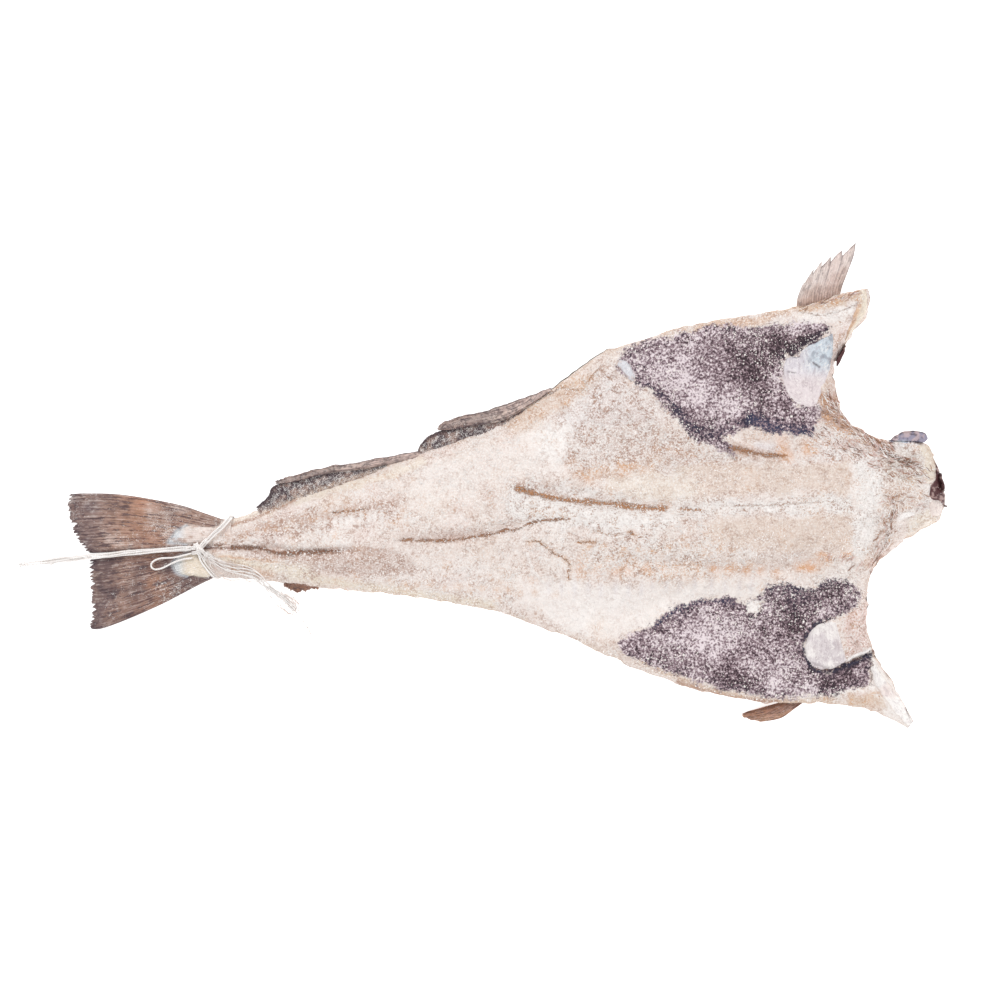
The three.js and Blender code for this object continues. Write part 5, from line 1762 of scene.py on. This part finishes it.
class DRIEDCOD_OT_pectoral_fins(bpy.types.Operator):
    """Models the two pectoral fins that stick out from under the collar"""

    bl_idname = "dried_cod.pectoral_fins"
    bl_label = "Pectoral Fins"

    STEPS = (90, 84)
    THICKNESS = 0.0011
    LOOK_BACK = 0.02

    def fan(self, sizes, colours, name, pale, sides, heights, notches, notch, seed):
        sides = curves(*sides)

        def place(u, v, side):
            point = patch_place(u, v, *sides)
            back = point - patch_place(np.maximum(u - self.LOOK_BACK, 0), v, *sides)
            back = back / np.maximum(np.linalg.norm(back, axis=1), TINY)[:, None]
            lane = (v * notches + 0.2 * noise(v, 0, 0.2, seed)) % 1
            bite = notch * MM * (1 - lane) * ease(u, 0.7, 1.0) * (v < 0.97)
            bite = bite + 0.0006 * np.abs(noise(v, 0, 0.02, seed + 1)) * ease(u, 0.85, 1.0)
            x, y = (point - back * bite[:, None])[:, :2].T
            rim = np.clip(np.minimum(to_ends(v) * 16, (1 - u) * 30), 0, 1)
            thick = self.THICKNESS * (2.2 - 1.5 * u) * rounded(rim, 0.12)
            ray = sizes.ray * 1.3 * np.cos(2 * pi * (v * 18 + 0.3 * noise(u, v * 3, 0.3, seed + 2)))
            fold = 0.001 * np.cos(2 * pi * v * 2.5) * ease(u, 0.2, 1)
            z = blend(*mm(heights), u) + side * thick / 2 + (ray + fold) * rim
            coat = Paint(colours, "fin_pale" if pale else "fin_brown", len(x))
            coat("brown" if pale else "fin_dark", (0.75 if pale else 0.15) * ease(u, 0.55, 0.15))
            coat("speckle" if pale else "ochre", 0.6 * patches(x, y, 0.008, seed + 3, 3, -0.4, 0.8))
            coat("rose", 0.3 * bell(v - 0.7, 0.2))
            coat("fin_dark", 0.6 * bell(lane - 0.03, 0.05) * ease(u, 0.1, 0.6))
            coat("fin_dark", 0.6 * bell(to_ends(v), 0.015))
            coat("fin_dark", 0.5 * pale * ease(u, 0.9, 1.0))
            coat("umber", 0.6 * pale * ease(u, 0.24, 0.08))
            return (x, y, z), {"tint": coat.value, "lanes": columns(u * 1.5, v * 0.5, 0.24)}

        return add_sheet(name, self.STEPS, place)

    def execute(self, context):
        for name, (pale, *fin) in PECTORALS.items():
            item = self.fan(*settings(context), name, pale, *fin)
            finish_piece(context, item, "Pale dried fin" if pale else "Dried fin")
        return {"FINISHED"}


class DRIEDCOD_OT_scraps(bpy.types.Operator):
    """Models the thin membranes, flaps, collar bone and scraps of skin on the flesh"""

    bl_idname = "dried_cod.scraps"
    bl_label = "Membranes and Flaps"

    BASE = {"rosy": "white", "bone": "cream", "gill": "film"}
    # Short dark nicks in the gill membrane.
    NICKS = [mm([(197, 79), (203, 78)]), mm([(215, 85), (219, 82)])]

    def colour(self, colours, kind, u, v, x, y, inner, seed):
        """Colour of each place and the salt on it."""
        coat = Paint(colours, self.BASE.get(kind, kind), len(x))
        dotted = patches(x, y, 0.0035, seed + 3, 2, 0.2, 0.7)
        salt = 0.35
        if kind == "gill":
            blue = ease(y, 0.074, 0.086) * ease(x, 0.204, 0.218)
            coat("rose", 0.25 * ease(y, 0.082, 0.07))
            coat("skin_blue", 0.22 * ease(y, 0.07, 0.09))
            coat("film_blue", blue)
            coat("lining_blue", 0.45 * blue * dotted)
            nick = np.minimum(*[to_line(line, x, y) for line in self.NICKS])
            coat("lining", 0.9 * bell(nick + 0.0003 * noise(x, y, 0.002, seed + 4, 2), 0.0005))
            coat("lining_blue", 0.8 * bell(inner, 0.015) * (y > 0.085))
        elif kind == "bladder":
            coat("white", 0.7 * patches(x, y, 0.01, seed + 2, 2, -0.2, 0.8))
        elif kind == "film_blue":
            coat("film", 0.6)
            coat("speckle", 0.5 * dotted)
        elif kind == "skin_blue":
            coat("film_blue", 0.8 * ease(v, 0.4, 0.1) * ease(u, 0.5, 0.3))
            coat("lining", 0.8 * ease(v, 0.75, 0.95) + 0.7 * ease(u, 0.15, 0.0))
            coat("rose", 0.45 * patches(x, y, 0.003, seed + 2, 2, 0.0, 0.5))
            coat("lining", 0.6 * patches(x, y, 0.0022, seed + 3, 3, 0.1, 0.6))
            salt = 0.15
        elif kind == "skin_dark":
            coat("rose", 0.45 * patches(x, y, 0.0018, seed + 3, 3, 0.15, 0.6))
            salt = 0.12
        elif kind == "bone":
            coat("ochre", 0.7 * ease(v, 0.45, 0.8) * ease(u, 0.1, 0.4))
            coat("brown", 0.6 * bell(v - 0.8, 0.18) * dotted)
            coat("tan", 0.5 * ease(v, 0.2, 0.0))
        elif kind == "rosy":
            coat("rose", 0.4 * patches(x, y, 0.008, seed + 2, 2, -0.2, 0.7))
            coat("tan", 0.5 * ease(v, 0.85, 1.0) + 0.4 * ease(v, 0.12, 0.0))
        return coat.value, salt

    def film(self, ground, colours, name, low, high, lift, thickness, kind, steps, seed):
        low, high = curves(low, high)

        def place(u, v, side):
            x, y = blend(low(u), high(u), v[:, None]).T
            x = x + 0.0005 * noise(x, y, 0.004, seed, 2)
            y = y + 0.0005 * noise(x, y, 0.004, seed + 20, 2)
            inner = to_ends(u) * to_ends(v) * 4
            rim = ease(inner, -0.02, 0.25)
            z = ground.height(x, y)[0] + lift * MM * rim + side * thickness * MM / 2 * np.sqrt(rim).clip(0.2)
            z = z + 0.0003 * noise(x, y, 0.005, seed + 1, 2)
            shade, salt = self.colour(colours, kind, u, v, x, y, inner, seed)
            return (x, y, z), {"tint": shade, "lanes": columns(v, u, salt)}

        return add_sheet(name, steps, place)

    def execute(self, context):
        ground = Ground()
        for seed, (name, scrap) in enumerate(SCRAPS.items(), 121):
            item = self.film(ground, context.scene.dried_cod_colours, name, *scrap, seed)
            finish_piece(context, item, "Membrane")
        return {"FINISHED"}


class DRIEDCOD_OT_fibres(bpy.types.Operator):
    """Scatters the torn fibres along the neck cut"""

    bl_idname = "dried_cod.fibres"
    bl_label = "Torn Fibres"

    STEPS = 8
    LEAST = 4
    SEED = 151

    def fibre(self, ground, sizes, random, start, end, spread, direction, number):
        """One fibre near the line from start to end, cut off where the flesh ends."""
        start, end = mm(start), mm(end)
        side = np.array([start[1] - end[1], end[0] - start[0]]) / np.hypot(*(end - start))
        centre = blend(start, end, random.uniform(0, 1)) + side * random.normal(0, spread * MM * 0.5)
        aim = direction * pi / 180 + random.normal(0, 0.35)
        reach = random.uniform(0.0025, 0.0075)
        steps = np.linspace(-0.5, 0.5, self.STEPS)
        curl = 0.0008 * noise(steps, number, 0.4, 152)
        x = centre[0] + np.cos(aim) * reach * steps - np.sin(aim) * curl
        y = centre[1] + np.sin(aim) * reach * steps + np.cos(aim) * curl
        level, covered = ground.height(x, y)
        rise = 0.0003 + 0.0008 * (steps + 0.5) * random.uniform(0, 1)
        width = sizes.fibre * random.uniform(1.0, 2.2) * np.sin(np.linspace(0.25, pi - 0.25, self.STEPS))
        if covered.sum() < self.LEAST or not covered[self.STEPS // 2]:
            return None
        path = columns(x, y, level + rise)[covered]
        return tube(f"fibre_{number}", path, width[covered], sides=5)

    def execute(self, context):
        sizes, colours = settings(context)
        ground, random = Ground(), np.random.default_rng(self.SEED)
        pieces, shades = [], []
        for *band, count in FIBRE_BANDS:
            for _ in range(count):
                fibre = self.fibre(ground, sizes, random, *band, len(pieces))
                if fibre:
                    pieces.append(fibre)
                    shades.append(np.full(len(fibre.data.vertices), random.uniform(0, 1)))
        item = join("torn_fibres", pieces)
        shade = np.concatenate(shades)
        coat = Paint(colours, "white", len(shade))
        for name, low, high in (("rose", 0.35, 0.45), ("brown", 0.62, 0.7), ("umber", 0.85, 0.9)):
            coat(name, ease(shade, low, high))
        keep_values(item, tint=coat.value, lanes=np.tile((0, 0, 0.1), (len(shade), 1)))
        finish_piece(context, item, "Membrane")
        return {"FINISHED"}


class DRIEDCOD_OT_crystals(bpy.types.Operator):
    """Scatters loose salt crystals over the flesh"""

    bl_idname = "dried_cod.crystals"
    bl_label = "Salt Crystals"

    SEED = 161
    TRIES = 4
    CORNERS = np.array([(a, b, c) for a in (-1, 1) for b in (-1, 1) for c in (-1, 1)], float)
    SIDES = [(0, 1, 3, 2), (4, 6, 7, 5), (0, 4, 5, 1), (2, 3, 7, 6), (0, 2, 6, 4), (1, 5, 7, 3)]

    def execute(self, context):
        sizes, _ = settings(context)
        random = np.random.default_rng(self.SEED)
        draws = sizes.crystals * self.TRIES
        u, v = random.uniform(0.02, 0.995, draws), random.uniform(0.01, 0.99, draws)
        x, y, _, _ = body_place(u, v)
        area = np.abs(upper_edge(x) - lower_edge(x))
        likely = area / area.max() * patches(x, y, SALT_PATCH, SALT_SEED, 3, -0.9, 0.9)
        kept = np.flatnonzero(random.uniform(0, 1, draws) < likely)[:sizes.crystals]
        level, covered = Ground().height(x[kept], y[kept])
        centre = columns(x[kept], y[kept], level)[covered]
        count = len(centre)
        size = sizes.crystal / 2 * np.exp(random.normal(0, 0.35, count))
        axes = np.linalg.qr(random.normal(0, 1, (count, 3, 3)))[0]
        stretch = random.uniform(0.7, 1.3, (count, 1, 3))
        corners = np.einsum("nij,nkj->nki", axes, self.CORNERS[None] * stretch) * size[:, None, None]
        points = (centre[:, None] + corners).reshape(-1, 3)
        faces = (np.array(self.SIDES)[None] + 8 * np.arange(count)[:, None, None]).reshape(-1, 4)
        item = add_mesh("salt_crystals", points, faces.tolist())
        select_only(item)
        bpy.ops.object.mode_set(mode="EDIT")
        face_outwards()
        finish_piece(context, item, "Salt crystal", smooth=False)
        return {"FINISHED"}


# ---- panel and registration

OPERATORS = [
    DRIEDCOD_OT_stage, DRIEDCOD_OT_twine, DRIEDCOD_OT_flesh, DRIEDCOD_OT_skin, DRIEDCOD_OT_tail_fin,
    DRIEDCOD_OT_edge_fins, DRIEDCOD_OT_pectoral_fins, DRIEDCOD_OT_scraps, DRIEDCOD_OT_fibres,
    DRIEDCOD_OT_crystals,
]


class DRIEDCOD_PT_panel(bpy.types.Panel):
    """Lists the steps that model the dried cod, with its sizes and colours"""

    bl_idname = "DRIEDCOD_PT_panel"
    bl_label = "Dried Cod"
    bl_space_type = "VIEW_3D"
    bl_region_type = "UI"
    bl_category = "Dried Cod"

    def draw(self, context):
        for operator in OPERATORS:
            self.layout.operator(operator.bl_idname)
        for group in settings(context):
            box = self.layout.box()
            for name in group.bl_rna.properties.keys():
                if name not in ("rna_type", "name"):
                    box.prop(group, name)


CLASSES = [DriedCodColours, DriedCodSizes, *OPERATORS, DRIEDCOD_PT_panel]


def register():
    for item in CLASSES:
        bpy.utils.register_class(item)
    bpy.types.Scene.dried_cod_colours = PointerProperty(type=DriedCodColours)
    bpy.types.Scene.dried_cod_sizes = PointerProperty(type=DriedCodSizes)


def unregister():
    del bpy.types.Scene.dried_cod_sizes
    del bpy.types.Scene.dried_cod_colours
    for item in reversed(CLASSES):
        bpy.utils.unregister_class(item)


def main():
    register()
    for operator in OPERATORS:
        group, name = operator.bl_idname.split(".")
        getattr(getattr(bpy.ops, group), name)()


if __name__ == "__main__":
    main()
